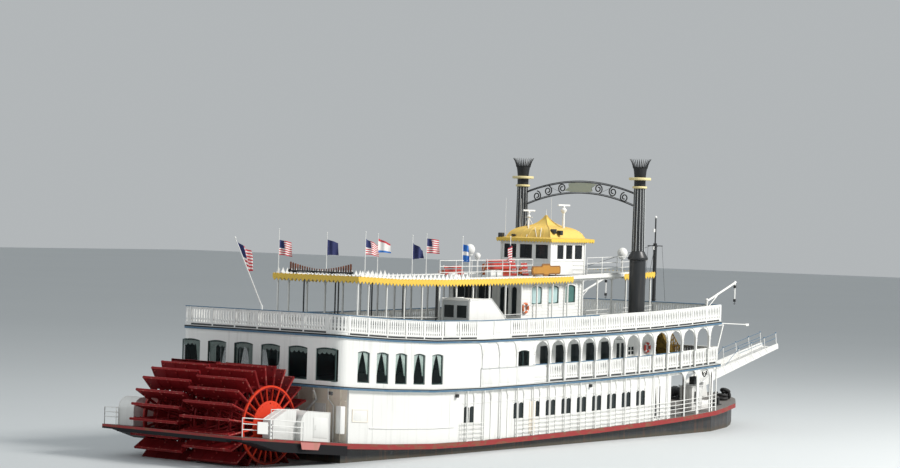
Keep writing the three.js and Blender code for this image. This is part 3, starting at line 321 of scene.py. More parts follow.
DECK_GREY = (0.30, 0.33, 0.34)
deck_paint = slab("deck_paint", (0.075, 0.16, 0.25), DECK_GREY, (0.74, 0.74, 0.70), (0.16, 0.24, 0.30), 0.5,
                  [(SECOND - 0.22, SECOND - 0.09), (THIRD - 0.28, THIRD - 0.1)],
                  [(SECOND - 0.09, SECOND - 0.03), (THIRD - 0.1, THIRD - 0.02)])
guard_paint = slab(
    "guard_paint", (0.29, 0.045, 0.045), (0.20, 0.19, 0.18), (0.05, 0.03, 0.03), (0.20, 0.10, 0.06), 0.8)
arm_paint = slab("arm_paint", (0.29, 0.045, 0.045), (0.20, 0.19, 0.18), (0.016, 0.016, 0.018),
                 (0.20, 0.10, 0.06), 0.8, [(MAIN - 0.14, MAIN)])
bracket_paint = weathered("bracket_paint", (0.55, 0.20, 0.18), RUST)
roof_paint = slab(
    "roof_paint", (0.80, 0.53, 0.07), (0.34, 0.36, 0.36), (0.70, 0.68, 0.60), (0.6, 0.4, 0.1), 0.3)


def hull_finish():
    paint = Paint("hull_black")
    over_water = paint.axis("Z") - WATER
    cloud = paint.noise(2.0, 5)
    tide = (over_water + cloud * 0.10).below(0.16, 0.10) * 0.75
    streak = paint.noise(2.4, 5, (4.0, 4.0, 0.3)).above(0.60, 0.14)
    scuff = paint.noise(5.5, 6, (0.5, 0.5, 2.2)).above(0.64, 0.05) * 0.5
    colour = paint.mix(tide, (0.018, 0.020, 0.022), (0.075, 0.065, 0.045))
    colour = paint.mix(streak * 0.5, colour, (0.12, 0.055, 0.03))
    colour = paint.mix(scuff, colour, (0.085, 0.09, 0.09))
    return paint.set(Base_Color=colour, Roughness=cloud * 0.3 + 0.3 + tide * 0.2,
                     Normal=paint.bump(paint.noise(9, 5), 0.006, 0.5))


hull_black = hull_finish()

# %% [markdown]
# ## The red of the wheel
# The wheel is the brightest thing on the ship where the sun reaches it. Low down it is wet and
# dark, and bare steel and rust show through where driftwood has knocked the paint off. The red
# comes in lit and shaded copies: a darker red on the buckets and inner frames is painted shade,
# a bright red on the starboard end is painted sunlight, and the port end takes the duller chipped
# red of the irons as painted shade.

# %% Wheel paint
def wheel_finish(name, low, high, chip, chipped=0.0):
    paint = Paint(name)
    over_water = paint.axis("Z") - WATER
    cloud = paint.noise(1.6, 5)
    wet = (over_water + cloud * 0.3).below(0.30, 0.35)
    chips = paint.noise(11, 7).above(0.66 - chipped * 0.14, 0.05)
    colour = paint.mix(cloud, low, high)
    colour = paint.mix(chips * 0.7, colour, chip)
    colour = paint.mix(wet * 0.75, colour, (0.055, 0.010, 0.010))
    return paint.set(Base_Color=colour, Roughness=cloud * 0.2 + 0.44 - wet * 0.2, IOR=1.25,
                     Normal=paint.bump(paint.noise(18, 6) + chips * 0.4, 0.004, 0.7))


# Painted shade: the darker copy, for the buckets and inner frames.
wheel_red = wheel_finish("wheel_red", (0.13, 0.006, 0.010), (0.30, 0.013, 0.015), (0.10, 0.03, 0.02))
wheel_worn_and_shade = wheel_finish("wheel_worn_and_shade", (0.26, 0.018, 0.02), (0.48, 0.05, 0.045), (0.52, 0.22, 0.18), 0.55)
sunlit_wheel_red = wheel_finish("sunlit_wheel_red", (0.62, 0.035, 0.014), (0.80, 0.065, 0.022), (0.40, 0.12, 0.08))

# %% [markdown]
# ## Glass, metal and cloth
# The panes are dark because the rooms behind them are, and their near-black tints paint that shade
# in. The saloon's panes are thin, nearly smooth sheets that let a little through, so that the
# curtains show behind them; the stern's are a darker, denser copy, painted shade for the shaded
# stern, and the dark panes elsewhere are opaque, painted shade for the unlit rooms. A slow wave in
# the bump keeps large panes from mirroring like polished steel.

# %% Glass and metals
def glass(name, tint, alpha):
    paint = Paint(name)
    cloud = paint.noise(2.2, 2)
    colour = paint.mix(cloud, tuple(c * 0.6 for c in tint), tint)
    return paint.set(Base_Color=colour, Roughness=cloud * 0.08 + 0.04, Alpha=alpha, IOR=1.3,
                     Normal=paint.bump(paint.noise(0.9, 1), 0.01, 0.3))


window_glass = glass("window_glass", (0.022, 0.036, 0.036), 0.15)
# Painted shade: the stern's panes are a darker, denser copy of the side glass, for the shaded stern.
shaded_stern_glass = glass("shaded_stern_glass", (0.012, 0.022, 0.024), 0.32)
# Painted shade: an opaque near-black pane stands for the unlit room behind it.
room_shade_glass = glass("room_shade_glass", (0.014, 0.022, 0.024), 1.0)
pilot_glass = glass("pilot_glass", (0.03, 0.036, 0.04), 0.7)
teal_glass = glass("teal_glass", (0.10, 0.22, 0.20), 1.0)
pale_glass = glass("pale_glass", (0.50, 0.68, 0.68), 1.0)


def metal(name, colour, worn, rough):
    paint = Paint(name)
    cloud = paint.noise(7, 5)
    return paint.set(Base_Color=paint.mix(cloud.above(0.5, 0.3), worn, colour), Metallic=0.85,
                     Roughness=cloud * 0.3 + rough, Normal=paint.bump(cloud, 0.003, 0.5))


gilding = metal("gilding", (0.80, 0.52, 0.12), (0.36, 0.20, 0.05), 0.22)
copper = metal("copper", (0.40, 0.15, 0.085), (0.13, 0.06, 0.04), 0.30)


def cloth(name, colour, fold):
    paint = Paint(name)
    weave = paint.noise(240, 2)
    shade = paint.mix(paint.noise(5, 3), fold, colour)
    return paint.set(Base_Color=shade, Roughness=weave * 0.1 + 0.8, Normal=paint.bump(weave, 0.0006, 0.5))


curtain_cloth = cloth("curtain_cloth", (0.80, 0.93, 0.87), (0.60, 0.76, 0.70))
rubber = weathered("rubber", (0.02, 0.02, 0.02), (0.07, 0.07, 0.06), rough=0.7)
orange_canvas = cloth("orange_canvas", (0.62, 0.16, 0.04), (0.4, 0.09, 0.02))

# %% [markdown]
# ## The workbench
# Every shape below starts from one of a few moves: a box, a rod between two points, a pipe along
# a path, a board cut to an outline, and rows of copies. A finished piece is cut where the sheer
# bends, lifted onto it, halved in size, painted, and told which body it moves with.

# %% Primitive moves
def pick(piece):
    """Makes the piece the only selected one, and the active one."""
    deselect()
    piece.select_set(True)
    bpy.context.view_layer.objects.active = piece


def apply_place():
    bpy.ops.object.transform_apply(location=True, rotation=True, scale=True)
    return bpy.context.active_object


def box(x, y, z):
    """A box from three (low, high) pairs."""
    deselect()
    middle = [(low + high) / 2 for low, high in (x, y, z)]
    size = [abs(high - low) for low, high in (x, y, z)]
    bpy.ops.mesh.primitive_cube_add(size=1, location=middle, scale=size)
    return apply_place()


def rod(start, end, radius, sides=8, tip=None):
    start, end = Vector(start), Vector(end)
    deselect()
    turn = (end - start).to_track_quat("Z", "Y").to_euler()
    bpy.ops.mesh.primitive_cone_add(vertices=sides, radius1=radius, radius2=radius if tip is None else tip,
                                    depth=(end - start).length, location=(start + end) / 2, rotation=turn)
    return apply_place()


def ball(at, radius, squash=1.0, rings=8):
    deselect()
    bpy.ops.mesh.primitive_uv_sphere_add(
        segments=2 * rings, ring_count=rings, radius=radius, location=at, scale=(1, 1, squash))
    return apply_place()


def ring(at, radius, thick, axis="Z", steps=32, sides=8):
    deselect()
    turn = {"X": (0, math.pi / 2, 0), "Y": (math.pi / 2, 0, 0), "Z": (0, 0, 0)}[axis]
    bpy.ops.mesh.primitive_torus_add(major_radius=radius, minor_radius=thick, major_segments=steps,
                                     minor_segments=sides, location=at, rotation=turn)
    return apply_place()


def linked(name, data):
    piece = bpy.data.objects.new(name, data)
    bpy.context.scene.collection.objects.link(piece)
    return piece


def raw_mesh(points, edges, faces):
    mesh = bpy.data.meshes.new("raw")
    mesh.from_pydata(points, edges, faces)
    return linked("raw", mesh)


def as_mesh(curve):
    pick(linked("shape", curve))
    bpy.ops.object.convert(target="MESH")
    return bpy.context.active_object


def pipe(paths, radius, sides=6, closed=False):
    """Round bars along one or several paths of points."""
    curve = bpy.data.curves.new("pipe", "CURVE")
    curve.dimensions = "3D"
    curve.bevel_depth = radius
    curve.bevel_resolution = max(0, sides // 2 - 2)
    curve.use_fill_caps = True
    for path in paths:
        spline = curve.splines.new("POLY")
        spline.points.add(len(path) - 1)
        for point, at in zip(spline.points, path):
            point.co = (*at, 1)
        spline.use_cyclic_u = closed
    return as_mesh(curve)


ALONG = Matrix(((1, 0, 0, 0), (0, 0, -1, 0), (0, 1, 0, 0), (0, 0, 0, 1)))  # an outline in x and z
ACROSS = Matrix(((0, 0, 1, 0), (1, 0, 0, 0), (0, 1, 0, 0), (0, 0, 0, 1)))  # an outline in y and z
PLAN = Matrix.Identity(4)


def board(loops, thick, plane, offset):
    """A board cut to closed outlines; inner loops are holes. offset is its middle plane's place."""
    curve = bpy.data.curves.new("board", "CURVE")
    curve.dimensions = "2D"
    curve.fill_mode = "BOTH"
    curve.extrude = thick / 2
    for loop in loops:
        spline = curve.splines.new("POLY")
        spline.points.add(len(loop) - 1)
        for point, (a, b) in zip(spline.points, loop):
            point.co = (a, b, 0, 1)
        spline.use_cyclic_u = True
    piece = as_mesh(curve)
    piece.data.transform(plane)
    shift = {id(ALONG): (0, offset, 0), id(ACROSS): (offset, 0, 0), id(PLAN): (0, 0, offset)}[id(plane)]
    piece.data.transform(Matrix.Translation(shift))
    return piece


def oblong(along, up, grow=0.0):
    """A rectangle's corners from two (low, high) pairs, grown on all sides."""
    (a, b), (c, d) = along, up
    return [(a - grow, c - grow), (b + grow, c - grow), (b + grow, d + grow), (a - grow, d + grow)]


def modifier(piece, kind, **settings):
    pick(piece)
    bpy.ops.object.modifier_add(type=kind)
    made = piece.modifiers[-1]
    for key, value in settings.items():
        setattr(made, key, value)
    bpy.ops.object.modifier_apply(modifier=made.name)
    return piece


def row(piece, count, step):
    """Copies of a piece, count in all, each moved on by step."""
    return modifier(piece, "ARRAY", count=count, use_relative_offset=False, use_constant_offset=True,
                    constant_offset_displace=step)


def join(parts):
    deselect()
    for part in parts:
        part.select_set(True)
    bpy.context.view_layer.objects.active = parts[0]
    if len(parts) > 1:
        bpy.ops.object.join()
    return bpy.context.active_object


def edit(piece):
    pick(piece)
    bpy.ops.object.mode_set(mode="EDIT")
    bpy.ops.mesh.select_mode(type="VERT")
    bpy.ops.mesh.select_all(action="SELECT")


def edited(piece):
    bpy.ops.object.mode_set(mode="OBJECT")
    return piece


def bevelled(piece, offset, segments=2):
    edit(piece)
    bpy.ops.mesh.bevel(offset=offset, segments=segments)
    return edited(piece)


def moved_copy(piece, move):
    """A copy with its own mesh, moved by a matrix."""
    twin = piece.copy()
    twin.data = piece.data.copy()
    bpy.context.scene.collection.objects.link(twin)
    twin.data.transform(move)
    return twin


def mirrored(piece):
    """A copy on the other side of the centre line."""
    twin = moved_copy(piece, Matrix.Diagonal((1, -1, 1, 1)))
    edit(twin)
    bpy.ops.mesh.normals_make_consistent(inside=False)
    return edited(twin)


# %% Finishing a piece
def lift(piece):
    """Cuts a piece where the sheer bends and lifts it onto the curve."""
    ends = [v.co.x for v in piece.data.vertices]
    bends = [x for x, _ in SHEER if min(ends) + 1e-4 < x < max(ends) - 1e-4]
    if bends:
        edit(piece)
        for x in bends:
            bpy.ops.mesh.select_all(action="SELECT")
            bpy.ops.mesh.bisect(plane_co=(x, 0, 0), plane_no=(1, 0, 0))
        edited(piece)
    for vertex in piece.data.vertices:
        vertex.co.z += sheer(vertex.co.x)


# A paint, and a name for its colour
IN_WHITE = (white_paint, "white_paint")
IN_BLACK = (iron_paint, "black_paint")
IN_GREY = (grey_paint, "door_grey")
IN_BLUE = (blue_paint, "blue_trim")
IN_YELLOW = (yellow_paint, "awning_yellow")
made = []


def finish(parts, name, finish_material, slot=None, body="ship", lifted=True, smooth=35, replaces=()):
    piece = join(parts if isinstance(parts, list) else [parts])
    if lifted:
        lift(piece)
    piece.data.transform(TO_MODEL)
    piece.name = piece.data.name = name
    piece.data.materials.clear()
    piece.data.materials.append(finish_material)
    pick(piece)
    bpy.ops.object.shade_smooth_by_angle(angle=math.radians(smooth))
    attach(piece, body)
    if replaces:
        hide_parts(*replaces)
    made.append(name)
    return piece


def paint_nodes(names, finish_material):
    for name in names:
        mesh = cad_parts[name].data
        mesh.materials.clear()
        mesh.materials.append(finish_material)


def both(name):
    return [f"{name}_{hand}" for hand in SIDE_NAME.values()]

# %% [markdown]
# ## Paint on the ready-made pieces
# Flat walls and decks keep their ready-made shape and only need their finish.

# %% Paint the construction
paint_nodes(["hull", *both("rudder")], hull_black)
paint_nodes(["main_deck"], guard_paint)
paint_nodes([*both("wheel_arm"), "stern_beam"], arm_paint)
paint_nodes(["second_deck", "third_deck"], deck_paint)
paint_nodes(["awning_roof"], roof_paint)
paint_nodes([*both("main_wall"), "main_wall_front", "saloon_wall_stern", *both("saloon_wall"),
             *both("lounge_wall"), "lounge_wall_front"], white_walls)
paint_nodes(["texas_walls"], texas_white)
paint_nodes(
    [*both("wheel_box"), *both("arcade"), *both("second_rail"), "second_rail_front", *both("third_rail"),
     "third_rail_stern", "third_rail_front", *both("awning_posts"), "stair_hood", *both("lounge_door"),
     "pilothouse_door", "landing_stage", "stage_stand", *both("davit"), "radar_scanner_upper",
     "radar_scanner_lower", *both("roof_rail"), "stern_staff"], white_paint)
paint_nodes(["engine_bulkhead"], beige_paint)
paint_nodes(both("paddle_wheel"), wheel_red)
paint_nodes(both("hood_door"), grey_paint)
paint_nodes(["gilded_stair"], gilding)
paint_nodes(["calliope"], copper)
paint_nodes([*both("funnel"), "funnel_arch", "mast", "windlass"], iron_paint)
paint_nodes(["pilothouse_roof"], yellow_paint)

# %% [markdown]
# ## The paddle wheel
# Two wheels share one shaft, turned half a bucket against each other so that the strokes blend.
# Each half has several spoked frames. The construction holds the end frames and the buckets; the
# frames between them, the hoops, the braces and the angle irons along each bucket are added
# here. One arm is modelled and spun round the shaft, as a wheelwright repeats one pattern.

# %% Wheel frames
WHEEL_Z = 2.15
WHEEL_RADIUS, WHEEL_RIM = 3.25, 2.13
BUCKETS = 24
BUCKET_PITCH = 2 * math.pi / BUCKETS
BUCKET_INNER = 2.36
WHEEL_HALF = 3.72
STAGGER = {-1: math.pi / BUCKETS, 1: 0.0}
INNER_FRAMES = (0.27, 0.5, 0.73)  # shares of a half's width


def spun(piece, count=BUCKETS, start=0.0):
    """Copies of a piece all round the shaft."""
    to_start = Matrix.Rotation(start, 4, "Y")
    about = Matrix.Translation((0, 0, WHEEL_Z))
    piece.data.transform(about @ to_start @ about.inverted())
    edit(piece)
    bpy.ops.mesh.spin(steps=count, dupli=True, angle=2 * math.pi, center=(0, 0, WHEEL_Z), axis=(0, 1, 0))
    bpy.ops.mesh.remove_doubles(threshold=0.0005)
    return edited(piece)


def hoop(y, radius, wide, thick):
    """A flat hoop on edge: a tube section that is hollowed by its own inset."""
    deselect()
    bpy.ops.mesh.primitive_cylinder_add(vertices=72, radius=radius, depth=wide, end_fill_type="NOTHING",
                                        location=(0, y, WHEEL_Z), rotation=(math.pi / 2, 0, 0))
    return modifier(apply_place(), "SOLIDIFY", thickness=thick, offset=-1)


def at_angle(radius, angle, y):
    return (radius * math.sin(angle), y, WHEEL_Z + radius * math.cos(angle))


def spoked_frame(y, start):
    arm = rod(at_angle(0.35, 0, y), at_angle(WHEEL_RADIUS - 0.06, 0, y), 0.055, 4)
    braces = [rod(at_angle(WHEEL_RIM - 0.06, side * BUCKET_PITCH * 0.42, y),
                  at_angle(BUCKET_INNER + 0.1, 0, y), 0.03, 4) for side in SIDES]
    return [
        spun(join([arm, *braces]), start=start), hoop(y, WHEEL_RIM, 0.12, 0.13), hoop(y, 0.62, 0.16, 0.16)]


for side, hand in SIDE_NAME.items():
    inner_frames = [
        part for share in INNER_FRAMES for part in spoked_frame(side * WHEEL_HALF * share, STAGGER[side])]
    finish(inner_frames, f"wheel_frames_{hand}", wheel_red, "wheel_red", "wheel", lifted=False)

# %% Angle irons, bolts and hub plates
HUB_PLATE = 1.34
BOLT_RADIUS, BOLT_OUT = 0.045, 0.105  # how far a bolt's ends stand from the bucket's middle

for side, hand in SIDE_NAME.items():
    low, high = sorted((side * 0.14, side * (WHEEL_HALF - 0.02)))
    iron = box((-0.07, 0.07), (low, high), (WHEEL_Z + WHEEL_RADIUS - 0.075, WHEEL_Z + WHEEL_RADIUS - 0.02))
    finish(spun(iron, start=STAGGER[side]), f"bucket_irons_{hand}", wheel_worn_and_shade, None, "wheel", lifted=False)
    foot = box((-0.06, 0.06), (low, high), (WHEEL_Z + BUCKET_INNER - 0.01, WHEEL_Z + BUCKET_INNER + 0.04))
    straps = [
        box((-0.05, 0.05), (y - 0.05, y + 0.05), (WHEEL_Z + BUCKET_INNER, WHEEL_Z + WHEEL_RADIUS - 0.02))
        for y in (side * WHEEL_HALF * share for share in INNER_FRAMES)]
    finish(spun(join([foot, *straps]), start=STAGGER[side]), f"bucket_straps_{hand}",
           wheel_red, None, "wheel", lifted=False)
    bolts = []
    for share in (0.06, 0.5, 0.94):
        for height in (0.25, 0.68):
            y, z = side * WHEEL_HALF * share, WHEEL_Z + BUCKET_INNER + height
            bolts.append(rod((-BOLT_OUT, y, z), (BOLT_OUT, y, z), BOLT_RADIUS, 6))
    finish(spun(join(bolts), start=STAGGER[side]), f"bucket_bolts_{hand}",
           wheel_worn_and_shade, None, "wheel", lifted=False)
    outer = side * WHEEL_HALF
    plate = bevelled(
        rod((0, outer - side * 0.02, WHEEL_Z), (0, outer + side * 0.05, WHEEL_Z), HUB_PLATE, 64), 0.03)
    boss = rod((0, outer, WHEEL_Z), (0, outer + side * 0.12, WHEEL_Z), 0.36, 32, 0.32)
    studs = spun(rod(at_angle(1.2, 0, outer), at_angle(1.2, 0, outer + side * 0.065), 0.04, 6), 24)
    rib = rod(at_angle(1.2, 0, outer - side * 0.01), at_angle(WHEEL_RIM, 0, outer - side * 0.01), 0.06, 4)
    tip = rod(at_angle(WHEEL_RIM, 0, outer - side * 0.01),
              at_angle(WHEEL_RADIUS - 0.02, 0, outer - side * 0.01), 0.05, 4)
    rim = hoop(outer - side * 0.02, WHEEL_RIM + 0.04, 0.12, 0.1)
    # Painted light: the starboard end takes the sunlit copy, the port end the duller chipped red as painted
    # shade.
    finish([plate, boss, studs, spun(rib, start=STAGGER[side]), rim], f"wheel_end_{hand}",
           sunlit_wheel_red if side < 0 else wheel_worn_and_shade, "wheel_red", "wheel", lifted=False)
    finish(spun(tip, start=STAGGER[side]), f"arm_tips_{hand}", wheel_worn_and_shade, None, "wheel", lifted=False)
print("wheel frames, irons, bolts and end plates")

# %% [markdown]
# ## Round the wheel
# The wheel's shaft turns in blocks on the two long arms. White sheet-steel boxes close the gap
# between arm and house: the port one is long and swallows its bearing, and to starboard a smaller
# sloping cover does that. Pipe rails keep the crew clear. Such covers often carry painted letters;
# these stay bare.

# %% Bearings and their cover
for side, hand in SIDE_NAME.items():
    y = side * 4.68
    cap = box((-0.44, 0.44), (y - 0.2, y + 0.2), (2.6, 2.66))
    nuts = [
        rod((x, y + off, 2.64), (x, y + off, 2.7), 0.05, 6) for x in (-0.36, 0.36) for off in (-0.12, 0.12)]
    finish([cap, *nuts], f"bearing_cap_{hand}", guard_paint, lifted=False)

COVER_SIDE = ((-1.1, MAIN + 0.01), (-1.1, 1.15), (-0.02, 1.72), (0.7, 1.74), (0.7, MAIN + 0.01))
cover_inner = [(-1.06, MAIN + 0.01), (-1.06, 1.12), (-0.01, 1.68), (0.7, 1.7), (0.7, MAIN + 0.01)]
round_hole = [
    (0.3 * math.sin(k * math.pi / 12), 0.82 + 0.3 * math.cos(k * math.pi / 12)) for k in range(24)]
skin = board([[*COVER_SIDE, *cover_inner[::-1]]], 0.74, ALONG, -4.66)
cover = [
    skin, board([COVER_SIDE], 0.025, ALONG, -5.04), board([COVER_SIDE, round_hole], 0.025, ALONG, -4.28)]
seams = [pipe([[(x, y, z + 0.01) for x, z in COVER_SIDE[:4]]], 0.018) for y in (-4.28, -4.66, -5.04)]
finish([*cover, *seams], "bearing_cover", *IN_WHITE)


def pipe_rail(corners, low, height, bars, radius=0.026, spacing=1.5):
    """Posts and level bars along corners given as (x, y), from the main deck up."""
    paths = []
    for (x0, y0), (x1, y1) in zip(corners, corners[1:]):
        length = math.hypot(x1 - x0, y1 - y0)
        count = max(1, round(length / spacing))
        for k in range(count + 1):
            x, y = x0 + (x1 - x0) * k / count, y0 + (y1 - y0) * k / count
            paths.append([(x, y, MAIN), (x, y, MAIN + height)])
        for b in range(bars):
            z = MAIN + low + (height - low) * b / (bars - 1)
            paths.append([(x0, y0, z), (x1, y1, z)])
    return pipe(paths, radius)


low_rail = pipe_rail([(-3.76, -5.2), (0.62, -5.66)], 0.42, 1.03, 3, spacing=2.2)
gallows = pipe([[(-0.57, -4.36, MAIN), (-0.57, -4.36, 1.69), (1.7, -4.36, 1.79)]], 0.028)
finish([low_rail, gallows], "stern_rails_starboard", *IN_WHITE)
low_rail = pipe_rail([(-3.7, 4.3), (-3.7, 5.2), (-2.5, 5.34)], 0.42, 0.95, 3, spacing=1.2)
finish(low_rail, "stern_rails_port", *IN_WHITE)
panel = bevelled(box((-2.88, -2.05), (-5.5, -5.46), (0.36, 1.0)), 0.01, 1)
finish(panel, "stern_panel", *IN_WHITE)
strip = box((-1.86, -1.74), (-5.5, -5.44), (MAIN, 1.14))
slots = [box((-1.83, -1.77), (-5.505, -5.43), (z, z + 0.07)) for z in (0.25, 0.45, 0.65, 0.85)]
finish(strip, "stern_strip", *IN_WHITE)
finish(slots, "stern_strip_slots", iron_paint)

# %% [markdown]
# The boxes are sheet steel over frames. Rolled seams follow the rounded shoulder, and a hatch in
# the outer side opens for greasing.

# %% Wheel boxes
BOX_COVER = {"fore": 3.2, "inner": 4.2, "outer": 5.38, "top": MAIN + 1.62, "round": 0.75}


def shoulder(aft, steps=10):
    """The box's rounded after edge, from the side upwards."""
    reach = BOX_COVER["round"]
    centre = (aft + reach, BOX_COVER["top"] - reach)
    return [(centre[0] - reach * math.sin(a), centre[1] + reach * math.cos(a))
            for a in (math.pi / 2 * k / steps for k in range(steps + 1))]


for side, hand, aft in ((-1, "starboard", 0.72), (1, "port", -2.45)):
    seams = []
    for y in (BOX_COVER["inner"], BOX_COVER["outer"]):
        path = [
            (BOX_COVER["fore"], side * y, BOX_COVER["top"]), *((x, side * y, z) for x, z in shoulder(aft))]
        seams.append(pipe([[*path, (aft, side * y, MAIN + 0.02)]], 0.02))
    face = side * BOX_COVER["outer"]
    hatch = bevelled(box((1.75, 2.95), sorted((face - side * 0.01, face + side * 0.016)),
                         (MAIN + 0.2, MAIN + 1.3)), 0.008)
    grip, proud = MAIN + 0.65, face + side * 0.06
    handle = pipe([[(1.9, face, grip), (1.9, proud, grip), (1.9, proud, grip + 0.22),
                    (1.9, face, grip + 0.22)]], 0.014)
    finish([*seams, hatch, handle], f"wheel_box_trim_{hand}", *IN_WHITE)
    bracket = board([[(0.2, 0.06), (1.85, 0.06), (1.66, -0.33), (0.32, -0.33)]], 0.03, ALONG, side * 5.86)
    finish(bracket, f"guard_bracket_{hand}", bracket_paint)

# %% [markdown]
# The beige bulkhead behind the wheel is a working wall: stiffeners, two doors with high sills, pipes
# and lockers, all weathered by spray.

# %% Engine bulkhead
WALL_AFT = 4.10
frames = [box((WALL_AFT - 0.07, WALL_AFT), (y - 0.03, y + 0.03), (MAIN + 0.02, SECOND_UNDER - 0.02))
          for y in (-5.3, -4.4, -3.3, -2.2, -1.1, 0, 1.1, 2.2, 3.3, 4.4, 5.3)]
belts = [box((WALL_AFT - 0.09, WALL_AFT), (-5.7, 5.7), (z, z + 0.06)) for z in (MAIN + 0.9, MAIN + 2.3)]
finish([*frames, *belts], "bulkhead_frames", beige_paint, "beige_paint")
ducts = [pipe([[(WALL_AFT - 0.12, y, MAIN), (WALL_AFT - 0.12, y, 2.1), (WALL_AFT - 0.12, y + 0.4, 2.5),
                (WALL_AFT - 0.12, y + 0.4, SECOND_UNDER)]], 0.05, 8) for y in (-4.9, -1.7, 1.3, 4.1)]
struts = [pipe([[(3.95, side * 2.7, 1.55), (3.95, side * 3.65, 2.42), (3.3, side * 4.0, 2.9)]], 0.07, 8)
          for side in SIDES]
finish([*ducts, *struts], "bulkhead_pipes", *IN_WHITE)
doors = []
for y in (-3.85, 3.85):
    doors += [box((WALL_AFT - 0.05, WALL_AFT), (y - 0.4, y + 0.4), (MAIN + 0.2, MAIN + 2.1)),
              box((WALL_AFT - 0.08, WALL_AFT), (y - 0.3, y + 0.3), (MAIN + 0.35, MAIN + 1.95)),
              ring((WALL_AFT - 0.09, y, MAIN + 1.2), 0.09, 0.014, "X", 16, 6)]
lockers = [
    bevelled(box((3.42, 3.82), sorted((side * 5.55, side * 5.9)), (0.62, 2.15)), 0.03) for side in SIDES]
finish([*doors, *lockers], "bulkhead_doors", *IN_WHITE)

# %% [markdown]
# ## Railings with sawn balusters
# The white balusters are flat boards sawn on both edges. Where two of them touch, the gap between
# closes, so a row shows a tall slit above a small hole. The slats are cheap, stay flat and can be
# replaced one at a time. Between the posts a gap drains the deck under the foot rail; it is drawn
# as a black strip, painted shade for the dark slot.

# %% Baluster rails
RAIL_POST, RAIL_FOOT, RAIL_CAP = 0.1, 0.2, 1.07
SLATS_A_BAY = 8
SLAT = (
    (0, 0.49), (0.05, 0.3), (0.12, 0.3), (0.18, 0.49), (0.26, 0.35), (0.5, 0.25), (0.66, 0.3), (0.8, 0.49))


def copies(piece, shifts):
    """Joined copies of a piece, one moved on by each shift."""
    twins = [moved_copy(piece, Matrix.Translation(shift)) for shift in shifts]
    bpy.data.objects.remove(piece)
    return join(twins)


def on(plane, along, across, z):
    """A box whose long side lies in the plane's own direction."""
    across = sorted(across)
    return box(along, across, z) if plane is ALONG else box(across, along, z)


def step(plane, distance):
    return (distance, 0, 0) if plane is ALONG else (0, distance, 0)


def bays(start, end):
    """Low edge of each bay and the bay's pitch, as the ready-made rails have them."""
    count = round((end - start) / MODULE)
    pitch = (end - start - RAIL_POST) / count
    return [start + RAIL_POST + k * pitch for k in range(count)], pitch


RAIL_RUNS = (
    # name, plane, start, end, across, outward, deck, closed bays, caps as (from, to, finish)
    ("third_rail", ALONG, 3.75, 42.14, -6.0, -1, THIRD, (7, 8),
     ((3.75, 28, IN_BLUE), (28, 42.2, IN_WHITE))),
    ("second_rail", ALONG, 21.32, 42.14, -5.8, -1, SECOND, (0,),
     ((21.32, 38, IN_BLUE), (38, 42.2, IN_WHITE))),
    ("third_stern", ACROSS, -5.22, 5.22, 2.97, -1, THIRD, (), ((-5.22, 5.22, IN_BLUE),)),
    ("third_front", ACROSS, -6.05, 6.05, 42.2, 1, THIRD, (), ((-6.05, 6.05, IN_BLUE),)),
    ("second_front", ACROSS, -5.86, 5.86, 42.2, 1, SECOND, (), ((-5.86, 5.86, IN_WHITE),)),
)


def dressed_rail(name, plane, start, end, across, out, deck, closed, caps):
    lows, pitch = bays(start, end)
    clear = pitch - RAIL_POST
    wide = clear / SLATS_A_BAY
    edge = [(lows[0] + wide * (0.5 + w), deck + RAIL_FOOT + z) for z, w in SLAT]
    edge += [(lows[0] + wide * (0.5 - w), deck + RAIL_FOOT + z) for z, w in reversed(SLAT)]
    one_bay = row(board([edge], 0.03, plane, across), SLATS_A_BAY, step(plane, wide))
    parts = [copies(one_bay, [step(plane, k * pitch) for k in range(len(lows)) if k not in closed])]
    for k in closed:
        parts.append(on(plane, (lows[k], lows[k] + clear), (across - 0.015, across + 0.015),
                        (deck + RAIL_FOOT, deck + RAIL_CAP - 0.07)))
        parts.append(
            bevelled(on(plane, (lows[k] + 0.1, lows[k] + clear - 0.1), (across, across + out * 0.03),
                        (deck + RAIL_FOOT + 0.1, deck + RAIL_CAP - 0.17)), 0.012))
    stud = on(plane, (start - 0.005, start + RAIL_POST + 0.005),
              (across + out * 0.03, across + out * 0.055), (deck, deck + RAIL_CAP))
    parts.append(copies(bevelled(stud, 0.008, 1), [step(plane, k * pitch) for k in range(len(lows) + 1)]))
    parts.append(bevelled(on(plane, (start, end), (across + out * 0.02, across + out * 0.05),
                             (deck + 0.13, deck + 0.21)), 0.01, 1))
    finish(parts, f"{name}_slats", *IN_WHITE)
    # Painted shade: a black strip stands for the dark open slot under the foot rail.
    gap = on(plane, (lows[0], lows[0] + clear), (across + out * 0.03, across + out * 0.04),
             (deck + 0.02, deck + 0.115))
    gaps = copies(gap, [step(plane, k * pitch) for k in range(len(lows)) if k not in closed])
    finish(gaps, f"{name}_gaps", *IN_BLACK)
    for number, (low, high, colour) in enumerate(caps):
        cap = on(plane, (low, high), (across - 0.065, across + 0.065),
                 (deck + RAIL_CAP - 0.01, deck + RAIL_CAP + 0.04))
        finish(bevelled(cap, 0.018), f"{name}_cap_{number}", *colour)


def port_twin(name, slot=None):
    """The finished starboard piece, mirrored to port."""
    twin = mirrored(bpy.data.objects[name])
    twin.name = twin.data.name = f"{name}_port"
    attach(twin, "ship")
    made.append(twin.name)
    return twin


def pair(parts, name, finish_material, slot=None, **settings):
    """A starboard piece and its twin to port."""
    finish(parts, name, finish_material, slot, **settings)
    return port_twin(name, slot)


